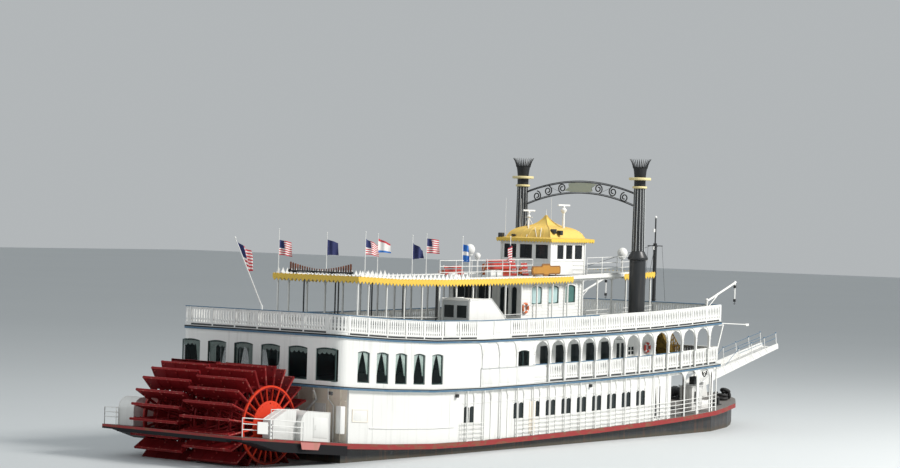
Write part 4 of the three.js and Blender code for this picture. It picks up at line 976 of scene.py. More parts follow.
for run in RAIL_RUNS:
    dressed_rail(*run)
for name in ("third_rail", "second_rail"):
    port_twin(f"{name}_slats", "white_paint")
    port_twin(f"{name}_gaps", "black_paint")
    port_twin(f"{name}_cap_0", "blue_trim")
    port_twin(f"{name}_cap_1", "white_paint")
print("rails dressed,", SLATS_A_BAY, "slats a bay")

# %% [markdown]
# At the stern the top rail turns both corners in a quarter circle. The same sawn slats stand on
# the curve, each turned to face outwards, under a cap bent from thin strips.

# %% Rounded stern corners
TURN = {"x": 3.75, "y": -5.22, "radius": 0.78, "slats": 5}


def on_turn(share, radius):
    turn = share * math.pi / 2
    return TURN["x"] - radius * math.cos(turn), TURN["y"] - radius * math.sin(turn)


slats = []
for k in range(TURN["slats"]):
    share = 0.08 + 0.84 * (k + 0.5) / TURN["slats"]
    edge = [(0.2 * w, THIRD + RAIL_FOOT + z) for z, w in SLAT]
    edge += [(-0.2 * w, THIRD + RAIL_FOOT + z) for z, w in reversed(SLAT)]
    slat = board([edge], 0.03, ALONG, 0)
    facing = math.atan2(-math.cos(share * math.pi / 2), math.sin(share * math.pi / 2))
    slat.data.transform(
        Matrix.Translation((*on_turn(share, TURN["radius"]), 0)) @ Matrix.Rotation(facing, 4, "Z"))
    slats.append(slat)


def turned_strip(inner, outer, low, high):
    shares = [k / 10 for k in range(11)]
    loop = [on_turn(t, outer) for t in shares] + [on_turn(t, inner) for t in reversed(shares)]
    return board([loop], high - low, PLAN, (low + high) / 2)


slats.append(turned_strip(TURN["radius"] + 0.02, TURN["radius"] + 0.05, THIRD + 0.13, THIRD + 0.21))
pair(slats, "corner_slats", *IN_WHITE)
pair(turned_strip(TURN["radius"] - 0.065, TURN["radius"] + 0.065, THIRD + RAIL_CAP - 0.01,
                  THIRD + RAIL_CAP + 0.04), "corner_cap", *IN_BLUE)

# %% [markdown]
# Aft of the open side deck the second rail carries on as a shallow panelled band against the
# saloon wall. A plain board hangs in the third rail, for notices.

# %% Panelled band and blank boards
BAND = {"aft": 15.9, "fore": 21.2, "bays": 3}
pitch = (BAND["fore"] - BAND["aft"]) / BAND["bays"]
parts = [bevelled(on(ALONG, (BAND["aft"], BAND["fore"]), (-6.02, -6.06), (SECOND, SECOND + 1.05)), 0.01, 1)]
for k in range(BAND["bays"]):
    x = BAND["aft"] + k * pitch
    parts.append(bevelled(on(ALONG, (x + 0.12, x + pitch - 0.08), (-6.05, -6.075),
                             (SECOND + 0.15, SECOND + 0.95)), 0.012))
    parts.append(on(ALONG, (x, x + 0.06), (-6.05, -6.085), (SECOND, SECOND + 1.05)))
pair(parts, "side_band", *IN_WHITE)
pair(bevelled(on(ALONG, (BAND["aft"], BAND["fore"] + 0.15), (-6.03, -6.095),
                 (SECOND + 1.05, SECOND + 1.09)), 0.01), "side_band_cap", *IN_GREY)
pair(bevelled(on(ALONG, (12.33, 13.4), (-6.04, -6.065), (THIRD + 0.16, THIRD + 1.05)), 0.015),
     "blank_board", *IN_WHITE)

# %% [markdown]
# ## Saloon windows and their curtains
# The tall panes sit deep in the wall, so a white reveal shows along one jamb and a dark frame
# beyond it. Each has two curtains drawn back towards the sides, which leaves a dark inverted V.
# The stern windows also have a scalloped valance. A curtain starts as a flat grid. Its rows are
# drawn in more and more towards the foot and its columns folded into pleats.

# %% Frames and panes
GLASS_THICK = 0.008


def arched(centre, low, width, height, rise=0.09, sag=0.0, steps=8):
    """A window outline with a low curved head and a foot that may sag."""
    half = width / 2
    shares = [k / steps for k in range(steps + 1)]
    foot = [(centre - half + width * t, low + sag * (1 - 4 * t * (1 - t))) for t in shares]
    head = [(centre + half - width * t, low + height - rise + rise * 4 * t * (1 - t)) for t in shares]
    return foot + head


def windows(name, plane, across, centres, low, width, height, frame_paint, pane, rise=0.09, sag=0.0,
            margin=0.05, bars=(), twin=True):
    """Frames and panes: the frame's outer edge hides in the wall, its inner edge is the pane's outline."""
    frames, panes = [], []
    for centre in centres:
        outer = arched(centre, low - 0.02, width + 0.04, height + 0.04, rise)
        inner = arched(centre, low + margin, width - 2 * margin, height - 2 * margin, rise, sag)
        frames.append(board([outer, inner], 0.03, plane, across))
        panes.append(board([inner], GLASS_THICK, plane, across))
        for share in bars:
            at = centre - width / 2 + width * share
            frames.append(on(plane, (at - 0.02, at + 0.02), (across - 0.015, across + 0.015),
                             (low + margin, low + height - rise / 2 - margin)))
    make = pair if twin else finish
    make(frames, f"{name}_frames", frame_paint)
    make(panes, f"{name}_panes", pane)


teal_frame = weathered("teal_frame", (0.035, 0.075, 0.07), (0.10, 0.12, 0.11))
SIDE_CENTRES = [5.15 + 1.66 * k for k in range(5)]
STERN_CENTRES = [2.04 * (k - 2.5) for k in range(6)]
SIDE_PANE = {"low": SECOND + 0.24, "width": 1.04, "height": 1.76}
STERN_PANE = {"low": SECOND + 0.2, "width": 1.42, "height": 1.85}
SALOON_STERN = 2.95
windows("saloon_side", ALONG, -5.935, SIDE_CENTRES, *SIDE_PANE.values(), teal_frame, window_glass, sag=0.03)
windows("saloon_stern", ACROSS, SALOON_STERN + 0.07, STERN_CENTRES, *STERN_PANE.values(), teal_frame,
        shaded_stern_glass, sag=0.03, twin=False)
windows(
    "saloon_small", ALONG, -5.95, [20.15], SECOND + 1.04, 1.1, 1.0, teal_frame, window_glass, bars=(0.5,))

# %% Curtains
PLEATS = 5
GRID = (30, 16)


def cloth_piece(name, place, flat_width, drop, twin=False, material=curtain_cloth, lifted=True):
    """A grid of cloth: place(u, v) gives the point for shares u across and v down."""
    deselect()
    bpy.ops.mesh.primitive_grid_add(x_subdivisions=GRID[0], y_subdivisions=GRID[1], size=1)
    piece = bpy.context.active_object
    for vertex in piece.data.vertices:
        vertex.co = place(vertex.co.x + 0.5, 0.5 - vertex.co.y)
    finish(piece, name, material, smooth=60, lifted=lifted)
    pieces = [piece, port_twin(name)] if twin else [piece]
    area = sum(face.area for face in piece.data.polygons)
    for sheet in pieces:
        max(flat_width * SCALE, 1.02 * area / (drop * SCALE))
        drop * SCALE


def drawn_curtain(plane, across, jamb, centre, low, height, fold, drop=0.72, foot=0.2):
    """From the jamb to the pane's middle at the head, and drawn back to a share of that at the foot."""
    def place(u, v):
        wide = abs(centre - jamb) * 0.97 - 0.05
        reach = wide * (1 - (1 - foot) * v ** 0.7)
        along = jamb + math.copysign(0.055 + reach * u, centre - jamb)
        depth = across + fold * (0.5 + 0.5 * math.cos(u * PLEATS * 2 * math.pi)) * (0.6 + 0.4 * v)
        z = low + height - 0.07 - (height - 0.07) * drop * v
        return (along, depth, z) if plane is ALONG else (depth, along, z)
    return place


CURTAIN_Y, CURTAIN_X = -5.92, SALOON_STERN + 0.09
for number, centre in enumerate(SIDE_CENTRES):
    for end in SIDES:
        jamb = centre + end * SIDE_PANE["width"] / 2
        hang = drawn_curtain(ALONG, CURTAIN_Y, jamb, centre, SIDE_PANE["low"], SIDE_PANE["height"], 0.025)
        cloth_piece(f"curtain_side_{number}_{'ab'[end > 0]}", hang, 0.66, 1.3, twin=True)


def valance(centre):
    def place(u, v):
        along = centre + (u - 0.5) * (STERN_PANE["width"] - 0.13)
        scallop = 0.16 + 0.12 * abs(math.sin(u * 4 * math.pi))
        top = STERN_PANE["low"] + STERN_PANE["height"] - 0.085 + 0.05 * (4 * u * (1 - u) - 1) * 1.4
        return (CURTAIN_X + 0.012 * math.cos(u * 24 * math.pi), along, top - scallop * v)
    return place


# Width at the head and share left at the foot. Only the port windows keep their curtains; the
# rest are taken down.
STERN_CURTAINS = {(5, -1): (0.46, 0.4), (4, 1): (0.52, 0.9), (3, -1): (0.42, 0.8), (3, 1): (0.14, 0.8)}
for number, centre in enumerate(STERN_CENTRES):
    cloth_piece(f"valance_{number}", valance(centre), 1.35, 0.32)
for (number, end), (wide, foot) in STERN_CURTAINS.items():
    jamb = STERN_CENTRES[number] + end * STERN_PANE["width"] / 2
    hang = drawn_curtain(ACROSS, CURTAIN_X + 0.03, jamb, jamb - end * (wide + 0.05), STERN_PANE["low"],
                         STERN_PANE["height"] - 0.1, 0.02, drop=0.97, foot=foot)
    cloth_piece(f"curtain_stern_{number}_{'ab'[end > 0]}", hang, 0.4, 1.66)
print(len(SIDE_CENTRES) * 4 + len(STERN_CURTAINS), "curtains")

# %% [markdown]
# ## Columns, fans and the main deck's side
# Between the decks stand slender columns with fan-shaped brackets. On the saloon they are flat
# pilasters; on the side deck the ready-made arcade gets its fans, capitals and bases; along the
# main deck round stanchions stand outside the wall, with guard bars between them.

# %% Fans and columns
def fan(centre, top, spread, drop, stem, steps=7):
    """A bracket outline: wide under the beam, curving in to the column."""
    curve = []
    for k in range(steps + 1):
        t = k / steps
        curve.append(
            (spread + (stem - spread) * (1 - (1 - t) ** 2.2), top - 0.03 - (drop - 0.03) * t ** 1.4))
    return [(centre - spread, top), (centre + spread, top), *((centre + a, z) for a, z in curve),
            *((centre - a, z) for a, z in reversed(curve))]


def fan_columns(centres, across, thick, low, top, spread, drop, stem):
    parts = []
    for x in centres:
        parts.append(board([fan(x, top, spread, drop, stem)], thick, ALONG, across))
        for lean in (-0.5, 0, 0.5):
            parts.append(rod((x + lean * stem, across - thick / 2, top - drop),
                             (x + lean * spread, across - thick / 2, top - 0.06), 0.014, 5))
        for z, grow in ((top - drop, 0.035), (top - drop - 0.1, 0.02), (low + 0.03, 0.035)):
            parts.append(bevelled(on(ALONG, (x - stem - grow, x + stem + grow),
                                     (across - thick / 2 - grow, across + thick / 2),
                                     (z - 0.025, z + 0.025)), 0.008, 1))
        parts.append(
            on(ALONG, (x - stem, x + stem), (across - thick / 2, across + thick / 2), (low, top - drop)))
    return parts


pair(fan_columns([16.06, 17.73, 19.43], -6.04, 0.05, SECOND + 1.09, THIRD_UNDER, 0.42, 0.8, 0.05),
     "saloon_pilasters", *IN_WHITE)
ARCADE_CENTRES = [21.25 + MODULE * k for k in range(13)]
pair(fan_columns(ARCADE_CENTRES, -6.0, 0.05, SECOND + 1.12, THIRD_UNDER, 0.56, 0.86, 0.065),
     "arcade_fans", *IN_WHITE)
STANCHIONS = [19.62 + MODULE * k for k in range(-3, 11)]
STANCHION_Y = -6.03
stanchion = pipe(
    [[(STANCHIONS[0], STANCHION_Y, MAIN), (STANCHIONS[0], STANCHION_Y, SECOND_UNDER)]], 0.05, 10)
collars = [rod((STANCHIONS[0], STANCHION_Y, z), (STANCHIONS[0], STANCHION_Y, z + 0.05), 0.066, 10)
           for z in (MAIN, SECOND_UNDER - 0.06)]
pair(copies(join([stanchion, *collars]), [(MODULE * k, 0, 0) for k in range(len(STANCHIONS))]),
     "stanchions", *IN_WHITE, smooth=50)
pair(fan_columns([x + MODULE / 2 for x in STANCHIONS[:-1]], -5.92, 0.04, MAIN, SECOND_UNDER, 0.36, 0.5,
                 0.055), "main_pilasters", *IN_WHITE)

# %% Guard bars
BAR_HEIGHTS = (0.28, 0.54, 0.80, 1.06)


def guard_y(x):
    """Just inside the guard's edge, which curves in at the bow."""
    return 6.03 if x < 40 else 6.03 - 0.11 * (x - 40) / 2.1


def guard_bars(start, end, steps=8):
    xs = [start + (end - start) * k / steps for k in range(steps + 1)]
    return [[(x, -guard_y(x), MAIN + h) for x in xs] for h in BAR_HEIGHTS]


uprights = [
    [(x, -guard_y(x), MAIN), (x, -guard_y(x), MAIN + 1.08)] for x in (14.2, 37.0, 38.0, 39.53, 41.2, 42.05)]
bars = pipe([*guard_bars(14.2, STANCHIONS[1]), *guard_bars(STANCHIONS[3], 42.05), *uprights], 0.024)
pair(bars, "guard_bars", *IN_WHITE, smooth=60)
BOW_POSTS = ((38.0, 0.06), (39.53, 0.06), (41.2, 0.06), (42.05, 0.05))
bow_posts = [rod((x, -guard_y(x), MAIN), (x, -guard_y(x), SECOND_UNDER), r, 12) for x, r in BOW_POSTS]
bow_fans = [
    board([fan(x, SECOND_UNDER, 0.5, 0.7, 0.06)], 0.04, ALONG, -guard_y(x)) for x, _ in BOW_POSTS[:3]]
pair([*bow_posts, *bow_fans], "bow_posts", *IN_WHITE, smooth=40)

# %% Main deck windows, doors and fittings on the wall
MAIN_CENTRES = [19.93 + MODULE * k for k in range(9)]
MAIN_FACE = -5.895
for shift, tag in ((-0.27, "a"), (0.27, "b")):
    windows(f"main_{tag}", ALONG, -5.87, [x + shift for x in (15.04, *MAIN_CENTRES)], MAIN + 1.05, 0.54,
            1.04, white_paint, room_shade_glass, margin=0.045)
blind = [
    board([arched(15.04 + shift, MAIN + 1.09, 0.44, 0.95)], 0.02, ALONG, -5.905) for shift in (-0.27, 0.27)]
pair(blind, "blind_panes", room_shade_glass)
hood_strip = on(ALONG, (14.4, 33.7), (MAIN_FACE, -5.93), (MAIN + 2.20, MAIN + 2.24))
seams = [on(ALONG, (x - 0.012, x + 0.012), (MAIN_FACE, -5.912), (MAIN, SECOND_UNDER)) for x in (6.2, 13.2)]
ledge = bevelled(on(ALONG, (5.9, 13.6), (MAIN_FACE, -5.95), (MAIN + 0.85, MAIN + 0.89)), 0.01, 1)
door = bevelled(on(ALONG, (21.0, 21.62), (MAIN_FACE, -5.93), (MAIN + 0.1, MAIN + 2.05)), 0.012)
leaf = bevelled(on(ALONG, (34.95, 35.75), (MAIN_FACE, -5.94), (MAIN + 0.1, MAIN + 2.2)), 0.012)
pair([hood_strip, *seams, ledge, leaf], "main_wall_trim", *IN_WHITE)
rims = [oblong((4.4, 5.75), (MAIN + 1.19, MAIN + 1.91)), oblong((4.45, 5.7), (MAIN + 1.24, MAIN + 1.86))]
pair([door, board(rims, 0.04, ALONG, -5.92)], "beige_panels", beige_paint, "beige_paint")
pair(bevelled(on(ALONG, (4.44, 5.71), (MAIN_FACE, -5.925), (MAIN + 1.23, MAIN + 1.87)), 0.012),
     "panel_face", *IN_WHITE)
# Painted shade: a black wedge stands for the dark gap beside the door leaf.
pair([board([[(34.72, MAIN + 0.12), (34.92, MAIN + 0.3), (34.80, MAIN + 2.15)]], 0.02, ALONG, -5.905)],
     "door_slit", *IN_BLACK)
print("windows, columns and guard bars")

# %% [markdown]
# ## The side deck's inner wall
# Behind the arcade the lounge has wide panes with rounded lower corners, a glazed door and a
# little barred window. The door's panes ride on the door, so that they swing with it.

# %% Lounge windows and door
LOUNGE_Y = -4.6
LOUNGE_CENTRES = [24.3 + MODULE * k for k in range(5)]
windows("lounge_side", ALONG, LOUNGE_Y + 0.07, LOUNGE_CENTRES, SECOND + 0.35, 1.08, 1.75, white_paint,
        room_shade_glass, rise=0.02, sag=0.16, margin=0.03)
windows("lounge_front", ACROSS, 36.54, [-3.1, -1.9, 1.9, 3.1], SECOND + 0.7, 0.9, 1.4, white_paint,
        room_shade_glass, rise=0.04, twin=False)
LOUNGE_DOOR = {"aft": 31.95, "fore": 33.05, "foot": SECOND + 0.03, "head": SECOND + 2.12}


def door_dress(name, plane, face, out, low, high, foot, head, body, leaves=2, split=0.42, lifted=True):
    """Panes above and a raised panel below, on one face of a door."""
    frames, panes = [], []
    wide = (high - low) / leaves
    for k in range(leaves):
        a, b = low + wide * k + 0.09, low + wide * (k + 1) - 0.09
        waist = foot + (head - foot) * split
        panes.append(on(plane, (a, b), (face, face + out * 0.006), (waist + 0.06, head - 0.2)))
        rims = [oblong((a - 0.035, b + 0.035), (waist + 0.025, head - 0.165)),
                oblong((a, b), (waist + 0.06, head - 0.2))]
        frames.append(board(rims, 0.016, plane, face + out * 0.008))
        frames.append(
            bevelled(on(plane, (a, b), (face, face + out * 0.014), (foot + 0.12, waist - 0.08)), 0.005, 1))
    knob, proud = low + (high - low) * (0.5 if leaves == 2 else 0.92), face + out * 0.018
    frames.append(ball((knob, proud, foot + 1.0) if plane is ALONG else (proud, knob, foot + 1.0), 0.022))
    finish(frames, f"{name}_trim", *(IN_GREY if "hood" in name else IN_WHITE), body, lifted=lifted)
    finish(panes, f"{name}_panes", room_shade_glass, body=body, lifted=lifted)


for side, hand in SIDE_NAME.items():
    door_dress(
        f"lounge_door_{hand}", ALONG, side * 4.6, side, LOUNGE_DOOR["aft"] + 0.03,
        LOUNGE_DOOR["fore"] - 0.03, LOUNGE_DOOR["foot"], LOUNGE_DOOR["head"] - 0.02, f"lounge_door_{hand}")
inner_head, outer_head = SECOND + 2.16, SECOND + 2.27
portal = [(31.85, SECOND), (31.95, SECOND), (31.95, inner_head), (33.06, inner_head), (33.06, SECOND),
          (33.16, SECOND), (33.16, outer_head), (31.85, outer_head)]
casing = [board([portal], 0.03, ALONG, LOUNGE_Y - 0.012)]
holes = [
    oblong((a, a + 0.28), (z, z + 0.22)) for a in (33.38, 33.74) for z in (SECOND + 1.1, SECOND + 1.38)]
casing.append(
    board([oblong((33.3, 34.1), (SECOND + 1.0, SECOND + 1.7)), *holes], 0.04, ALONG, LOUNGE_Y - 0.015))
pair(casing, "lounge_casings", *IN_WHITE)
pair([on(ALONG, (33.35, 34.05), (LOUNGE_Y - 0.004, LOUNGE_Y), (SECOND + 1.05, SECOND + 1.65))],
     "barred_pane", room_shade_glass)


BUOY_RADIUS = 0.27


def life_rings(name, x, y, z, ring_paint):
    """A ring buoy with four bands on each side of the ship."""
    for side, tag in ((-1, ""), (1, "_port")):
        finish(ring((x, side * y, z), BUOY_RADIUS, 0.075, "Y", 32, 12), f"{name}{tag}", ring_paint)
        angles = [math.pi / 4 + turn * math.pi / 2 for turn in range(4)]
        bands = [ball((x + BUOY_RADIUS * math.cos(a), side * y, z + BUOY_RADIUS * math.sin(a)), 0.088,
                      rings=6) for a in angles]
        finish(bands, f"{name}{tag}_bands", white_paint)


orange_paint = weathered("orange_paint", (0.62, 0.16, 0.06), SOOT)
life_rings("ring_buoy_lounge", 35.5, 4.70, SECOND + 1.45, red_paint)
print("lounge windows and doors")

# %% [markdown]
# ## Cabin on the third deck
# The texas, a riverboat's name for the officers' cabin on the top deck, is clad in lapped boards
# that shed rain. Its after end is glazed. Each board is a thin wedge, and they stop short of the
# windows' frames.

# %% Texas
TEXAS_Y = -2.8
TEXAS_ARCHES = (25.7, 27.5, 29.3)
TEXAS_AFT = 24.0
TEXAS_TALL = ((-1.52, 0.72), (-2.3, 0.46))
TEXAS_GLASS = ((1.6, 1.8), (-0.02, 1.15))
BOARD_PITCH = 0.2


def lapped_boards(start, end, low, top, gaps):
    """Wedge boards along the wall, with gaps given as (from, to, low, top)."""
    parts = []
    for k in range(int((top - low) / BOARD_PITCH)):
        z = low + k * BOARD_PITCH
        edges = [start] + [e for g in gaps if g[2] < z + BOARD_PITCH and z < g[3] for e in g[:2]] + [end]
        for a, b in zip(edges[::2], edges[1::2]):
            plank = box((a, b), (TEXAS_Y - 0.022, TEXAS_Y + 0.01), (z, z + BOARD_PITCH))
            for vertex in plank.data.vertices:
                if vertex.co.z > z + 0.1 and vertex.co.y < TEXAS_Y:
                    vertex.co.y = TEXAS_Y - 0.002
            parts.append(plank)
    return parts


arch_gaps = [(x - 0.6, x + 0.6, THIRD + 1.6, THIRD + 2.95) for x in TEXAS_ARCHES]
clapboards = lapped_boards(TEXAS_AFT, 30.6, THIRD + 0.05, ROOF_UNDER - 0.1, arch_gaps)
pair(clapboards, "lapped_boards", *IN_WHITE, smooth=20)
for number, pane in enumerate((pale_glass, pale_glass, teal_glass)):
    windows(f"texas_arch_{number}", ALONG, TEXAS_Y + 0.06, [TEXAS_ARCHES[number]], THIRD + 1.7, 1.1, 1.15,
            teal_frame, pane, rise=0.12, sag=0.06)
for number, (y, width) in enumerate(TEXAS_TALL):
    windows(f"texas_tall_{number}", ACROSS, TEXAS_AFT + 0.05, [y], THIRD + 1.0, width, 1.85, grey_paint,
            room_shade_glass, rise=0.12, twin=False)
for number, (y, width) in enumerate(TEXAS_GLASS):
    windows(f"texas_glass_{number}", ACROSS, TEXAS_AFT + 0.05, [y], THIRD + 1.0, width, 1.95, grey_paint,
            room_shade_glass, rise=0.0, bars=(0.5,), twin=False)
arch_trim = [board([arched(x, THIRD + 1.62, 1.25, 1.32, 0.13), arched(x, THIRD + 1.71, 1.09, 1.13, 0.12)],
                   0.05, ALONG, TEXAS_Y - 0.01) for x in TEXAS_ARCHES]
corner_posts = [box((x - 0.05, x + 0.05), (TEXAS_Y - 0.04, TEXAS_Y + 0.01), (THIRD, ROOF_UNDER))
                for x in (TEXAS_AFT + 0.05, 30.55)]
pair([*arch_trim, *corner_posts], "texas_trim", *IN_WHITE)
life_rings("ring_buoy_texas", 24.4, 2.92, THIRD + 1.5, orange_paint)

# %% Stair hood doors and trim
HOOD = {"aft": 15.6, "inner": 3.2, "outer": 5.3, "foot": THIRD, "head": THIRD + 2.19}
for name, low, high in (
        ("starboard", -HOOD["outer"] + 0.12, -4.27), ("port", -4.23, -HOOD["inner"] - 0.12)):
    door_dress(f"hood_door_{name}", ACROSS, HOOD["aft"], -1, low, high, HOOD["foot"] + 0.06,
               HOOD["head"] - 0.06, f"hood_door_{name}", leaves=1, split=0.52)
cap_arc = [(-4.25 + 1.1 * math.cos(a), THIRD + 2.22 + 0.16 * math.sin(a))
           for a in (math.pi * k / 12 for k in range(13))]
hood_cap = board([cap_arc], 0.10, ACROSS, HOOD["aft"] + 0.06)
slope = ((15.6, THIRD + 2.3), (17.7, THIRD + 2.3), (20.4, THIRD + 0.14))
hood_edges = [pipe([[(x, y, z) for x, z in slope]], 0.035, 8) for y in (-HOOD["outer"], -HOOD["inner"])]
finish([hood_cap, *hood_edges], "hood_trim", *IN_WHITE)

# %% [markdown]
# ## The awning roof
# A yellow valance hangs from the roof's edge, cut to teeth below and crested above. White pipe
# posts carry the roof, and pipe rails run between them. The roof's after half has a picket
# coaming. On it stand life-float racks, lockers and satellite domes.

# %% Valance and pickets
AWNING = {"aft": 7.8, "fore": 38.3, "half": 3.25}
TOOTH = 0.31


def toothed(start, end, low, top, tooth, depth, crest=0.0):
    """A band with pointed teeth below and small points above."""
    count = round((end - start) / tooth)
    wide = (end - start) / count
    foot = [point for k in range(count)
            for point in ((start + wide * k, low + depth), (start + wide * (k + 0.5), low))]
    foot.append((end, low + depth))
    head = [(end, top)]
    for k in reversed(range(count)):
        head += [(start + wide * (k + 0.75), top + crest), (start + wide * (k + 0.5), top)] if crest else []
    head.append((start, top))
    return foot + head


VALANCE = (ROOF_UNDER - 0.27, ROOF - 0.06)
side_band = board(
    [toothed(AWNING["aft"] - 0.03, 29.0, *VALANCE, TOOTH, 0.17, 0.1)], 0.03, ALONG, -AWNING["half"] - 0.02)
fore_band = board(
    [toothed(34.7, AWNING["fore"] + 0.03, *VALANCE, TOOTH, 0.17, 0.1)], 0.03, ALONG, -AWNING["half"] - 0.02)
pair([side_band, fore_band], "roof_valance_side", *IN_YELLOW)
ends = [board([toothed(-AWNING["half"] - 0.03, AWNING["half"] + 0.03, *VALANCE, TOOTH, 0.17, 0.1)], 0.03,
              ACROSS, x) for x in (AWNING["aft"] - 0.02, AWNING["fore"] + 0.02)]
finish(ends, "roof_valance_ends", *IN_YELLOW)
PICKETS = {"start": 8.0, "end": 18.2, "height": 0.36}
picket_band = board([toothed(PICKETS["start"], PICKETS["end"], ROOF + PICKETS["height"], ROOF, 0.39,
                             -0.33)], 0.03, ALONG, -AWNING["half"] + 0.04)
pair([picket_band, box((PICKETS["start"], PICKETS["end"]), (-3.25, -3.15), (ROOF, ROOF + 0.03))],
     "roof_pickets", *IN_WHITE)
thin_edge = on(ALONG, (29.0, 34.7), (-3.25, -3.28), (ROOF_UNDER, ROOF + 0.02))
pair(thin_edge, "roof_thin_edge", *IN_WHITE)

# %% Posts, brackets and the rails between them
POST_Y = -3.05
posts = [8.96 + MODULE * k for k in range(18)]
collars = [
    rod((x, POST_Y, z), (x, POST_Y, z + 0.05), 0.075, 10) for x in posts for z in (THIRD, ROOF_UNDER - 0.2)]
knees = pipe([[(x + e * 0.02, POST_Y, ROOF_UNDER - 0.44), (x + e * 0.10, POST_Y, ROOF_UNDER - 0.22),
               (x + e * 0.32, POST_Y, ROOF_UNDER - 0.12)] for x in posts for e in SIDES], 0.016, 6)
bars = []
for start, end in ((8.0, 15.5), (19.4, 23.8), (30.7, 33.4), (34.8, 38.2)):
    bars += [[(start, POST_Y - 0.06, THIRD + h), (end, POST_Y - 0.06, THIRD + h)]
             for h in (0.35, 0.62, 0.89, 1.16)]
pair([*collars, knees, pipe(bars, 0.022)], "awning_pipes", *IN_WHITE, smooth=60)
cross_bars = [[(8.0, -3.1, THIRD + h), (8.0, 3.1, THIRD + h)] for h in (0.62, 0.89, 1.16)]
# Painted shade: the inner posts are black, standing for posts in the deep shade under the roof.
inner_posts = [[(x, 1.2 * side, THIRD), (x, 1.2 * side, ROOF_UNDER)] for x in (8.2, 11.3, 14.4, 17.6, 20.8)
               for side in SIDES]
finish([pipe(cross_bars, 0.022)], "awning_cross_bars", *IN_WHITE)
finish([pipe(inner_posts, 0.045, 8)], "awning_inner_posts", *IN_BLACK)
lights = [
    ball((x, y, ROOF_UNDER - 0.05), 0.12, 0.7) for x in (9.5, 12.5, 15.5, 18.5, 21.5) for y in (-1.6, 1.6)]
finish(lights, "awning_lights", *IN_BLACK)
benches = []
for x in (9.6, 11.6, 13.4, 15.6, 18.4, 21.6):
    for y in (-2.1, 0.0, 2.1):
        benches += [
            bevelled(box((x - 0.25, x + 0.25), (y - 0.6, y + 0.6), (THIRD + 0.42, THIRD + 0.47)), 0.015),
            bevelled(box((x + 0.22, x + 0.27), (y - 0.6, y + 0.6), (THIRD + 0.5, THIRD + 0.85)), 0.015)]
        benches += [
            pipe([[(x - 0.2, y + e, THIRD), (x - 0.2, y + e, THIRD + 0.43)],
                  [(x + 0.2, y + e, THIRD), (x + 0.25, y + e, THIRD + 0.85)]], 0.02) for e in (-0.5, 0.5)]
finish(benches, "benches", *IN_GREY)
print("texas, hood and awning")

# %% [markdown]
# ## Funnels and the arch between them
# Tall funnels carry sparks clear of the wooden decks. Sheet iron is rolled into fluted columns, so
# the folds stiffen it, and the tops are cut into prongs that flare like a feather crown. Two cream
# rings hide the joints. The profile of each is drawn once and spun round.

# %% Funnels
def turned(profile, x, y, steps=40):
    """A [radius, height] profile spun about an upright axis."""
    steps_up = [(k, k + 1) for k in range(len(profile) - 1)]
    piece = raw_mesh([(x + r, y, z) for r, z in profile], steps_up, [])
    edit(piece)
    bpy.ops.mesh.spin(steps=steps, angle=2 * math.pi, center=(x, y, 0), axis=(0, 0, 1))
    bpy.ops.mesh.select_all(action="SELECT")
    bpy.ops.mesh.remove_doubles(threshold=0.0005)
    bpy.ops.mesh.normals_make_consistent(inside=False)
    return edited(piece)


def fluted(x, y, low, low_radius, top, top_radius, flutes, depth=0.05):
    """A tapered column with two edges of every four drawn in."""
    column = rod((x, y, low), (x, y, top), low_radius, 4 * flutes, top_radius)
    for vertex in column.data.vertices:
        dx, dy = vertex.co.x - x, vertex.co.y - y
        edge = round(math.atan2(dy, dx) / (2 * math.pi) * 4 * flutes)
        if edge % 4 in (0, 1):
            vertex.co.x, vertex.co.y = x + dx * (1 - depth), y + dy * (1 - depth)
    return column


FUNNEL_X, FUNNEL_Y = 34.1, -4.69
FUNNEL_FOOT = THIRD + sheer(34.63) + 0.001
PRONGS = 28
shaft = [rod((FUNNEL_X, FUNNEL_Y, FUNNEL_FOOT), (FUNNEL_X, FUNNEL_Y, 11.4), 0.53, 56),
         turned([(0, 11.36), (0.55, 11.36), (0.66, 11.42), (0.66, 11.54), (0.47, 11.84), (0.44, 11.92),
                 (0, 11.92)], FUNNEL_X, FUNNEL_Y), fluted(FUNNEL_X, FUNNEL_Y, 11.9, 0.42, 16.0, 0.37, 12)]
cup = turned([(0, 16.0), (0.37, 16.0), (0.37, 16.75), (0.39, 16.9), (0.41, 17.1), (0.46, 17.38),
              (0.44, 17.38), (0.38, 17.1), (0, 17.05)], FUNNEL_X, FUNNEL_Y)
crown = ((0.44, 17.3), (0.49, 17.5), (0.58, 17.72), (0.70, 17.9))
prongs = []
for k in range(PRONGS):
    turn = 2 * math.pi * k / PRONGS
    steps = [(FUNNEL_X + r * math.cos(turn), FUNNEL_Y + r * math.sin(turn), z) for r, z in crown]
    prongs += [rod(a, b, 0.034 - 0.009 * n, 4, 0.025 - 0.009 * n)
               for n, (a, b) in enumerate(zip(steps, steps[1:]))]
fillets = []
for k in range(12):
    turn = 2 * math.pi * (k + 0.5) / 12
    fillets.append(
        rod((FUNNEL_X + 0.418 * math.cos(turn), FUNNEL_Y + 0.418 * math.sin(turn), 11.95),
            (FUNNEL_X + 0.366 * math.cos(turn), FUNNEL_Y + 0.366 * math.sin(turn), 15.98), 0.02, 6))
foot_ring = turned([(0.5, FUNNEL_FOOT), (0.6, FUNNEL_FOOT), (0.6, FUNNEL_FOOT + 0.08),
                    (0.5, FUNNEL_FOOT + 0.14)], FUNNEL_X, FUNNEL_Y)
finish([*shaft, foot_ring], "funnel_starboard_fluted", *IN_BLACK, lifted=False, smooth=30,
       replaces=("funnel_starboard",))
finish([cup, *prongs], "funnel_crown_starboard", dark_iron, "black_paint", lifted=False, smooth=30)
finish(fillets, "funnel_fillets_starboard", grey_paint, lifted=False)
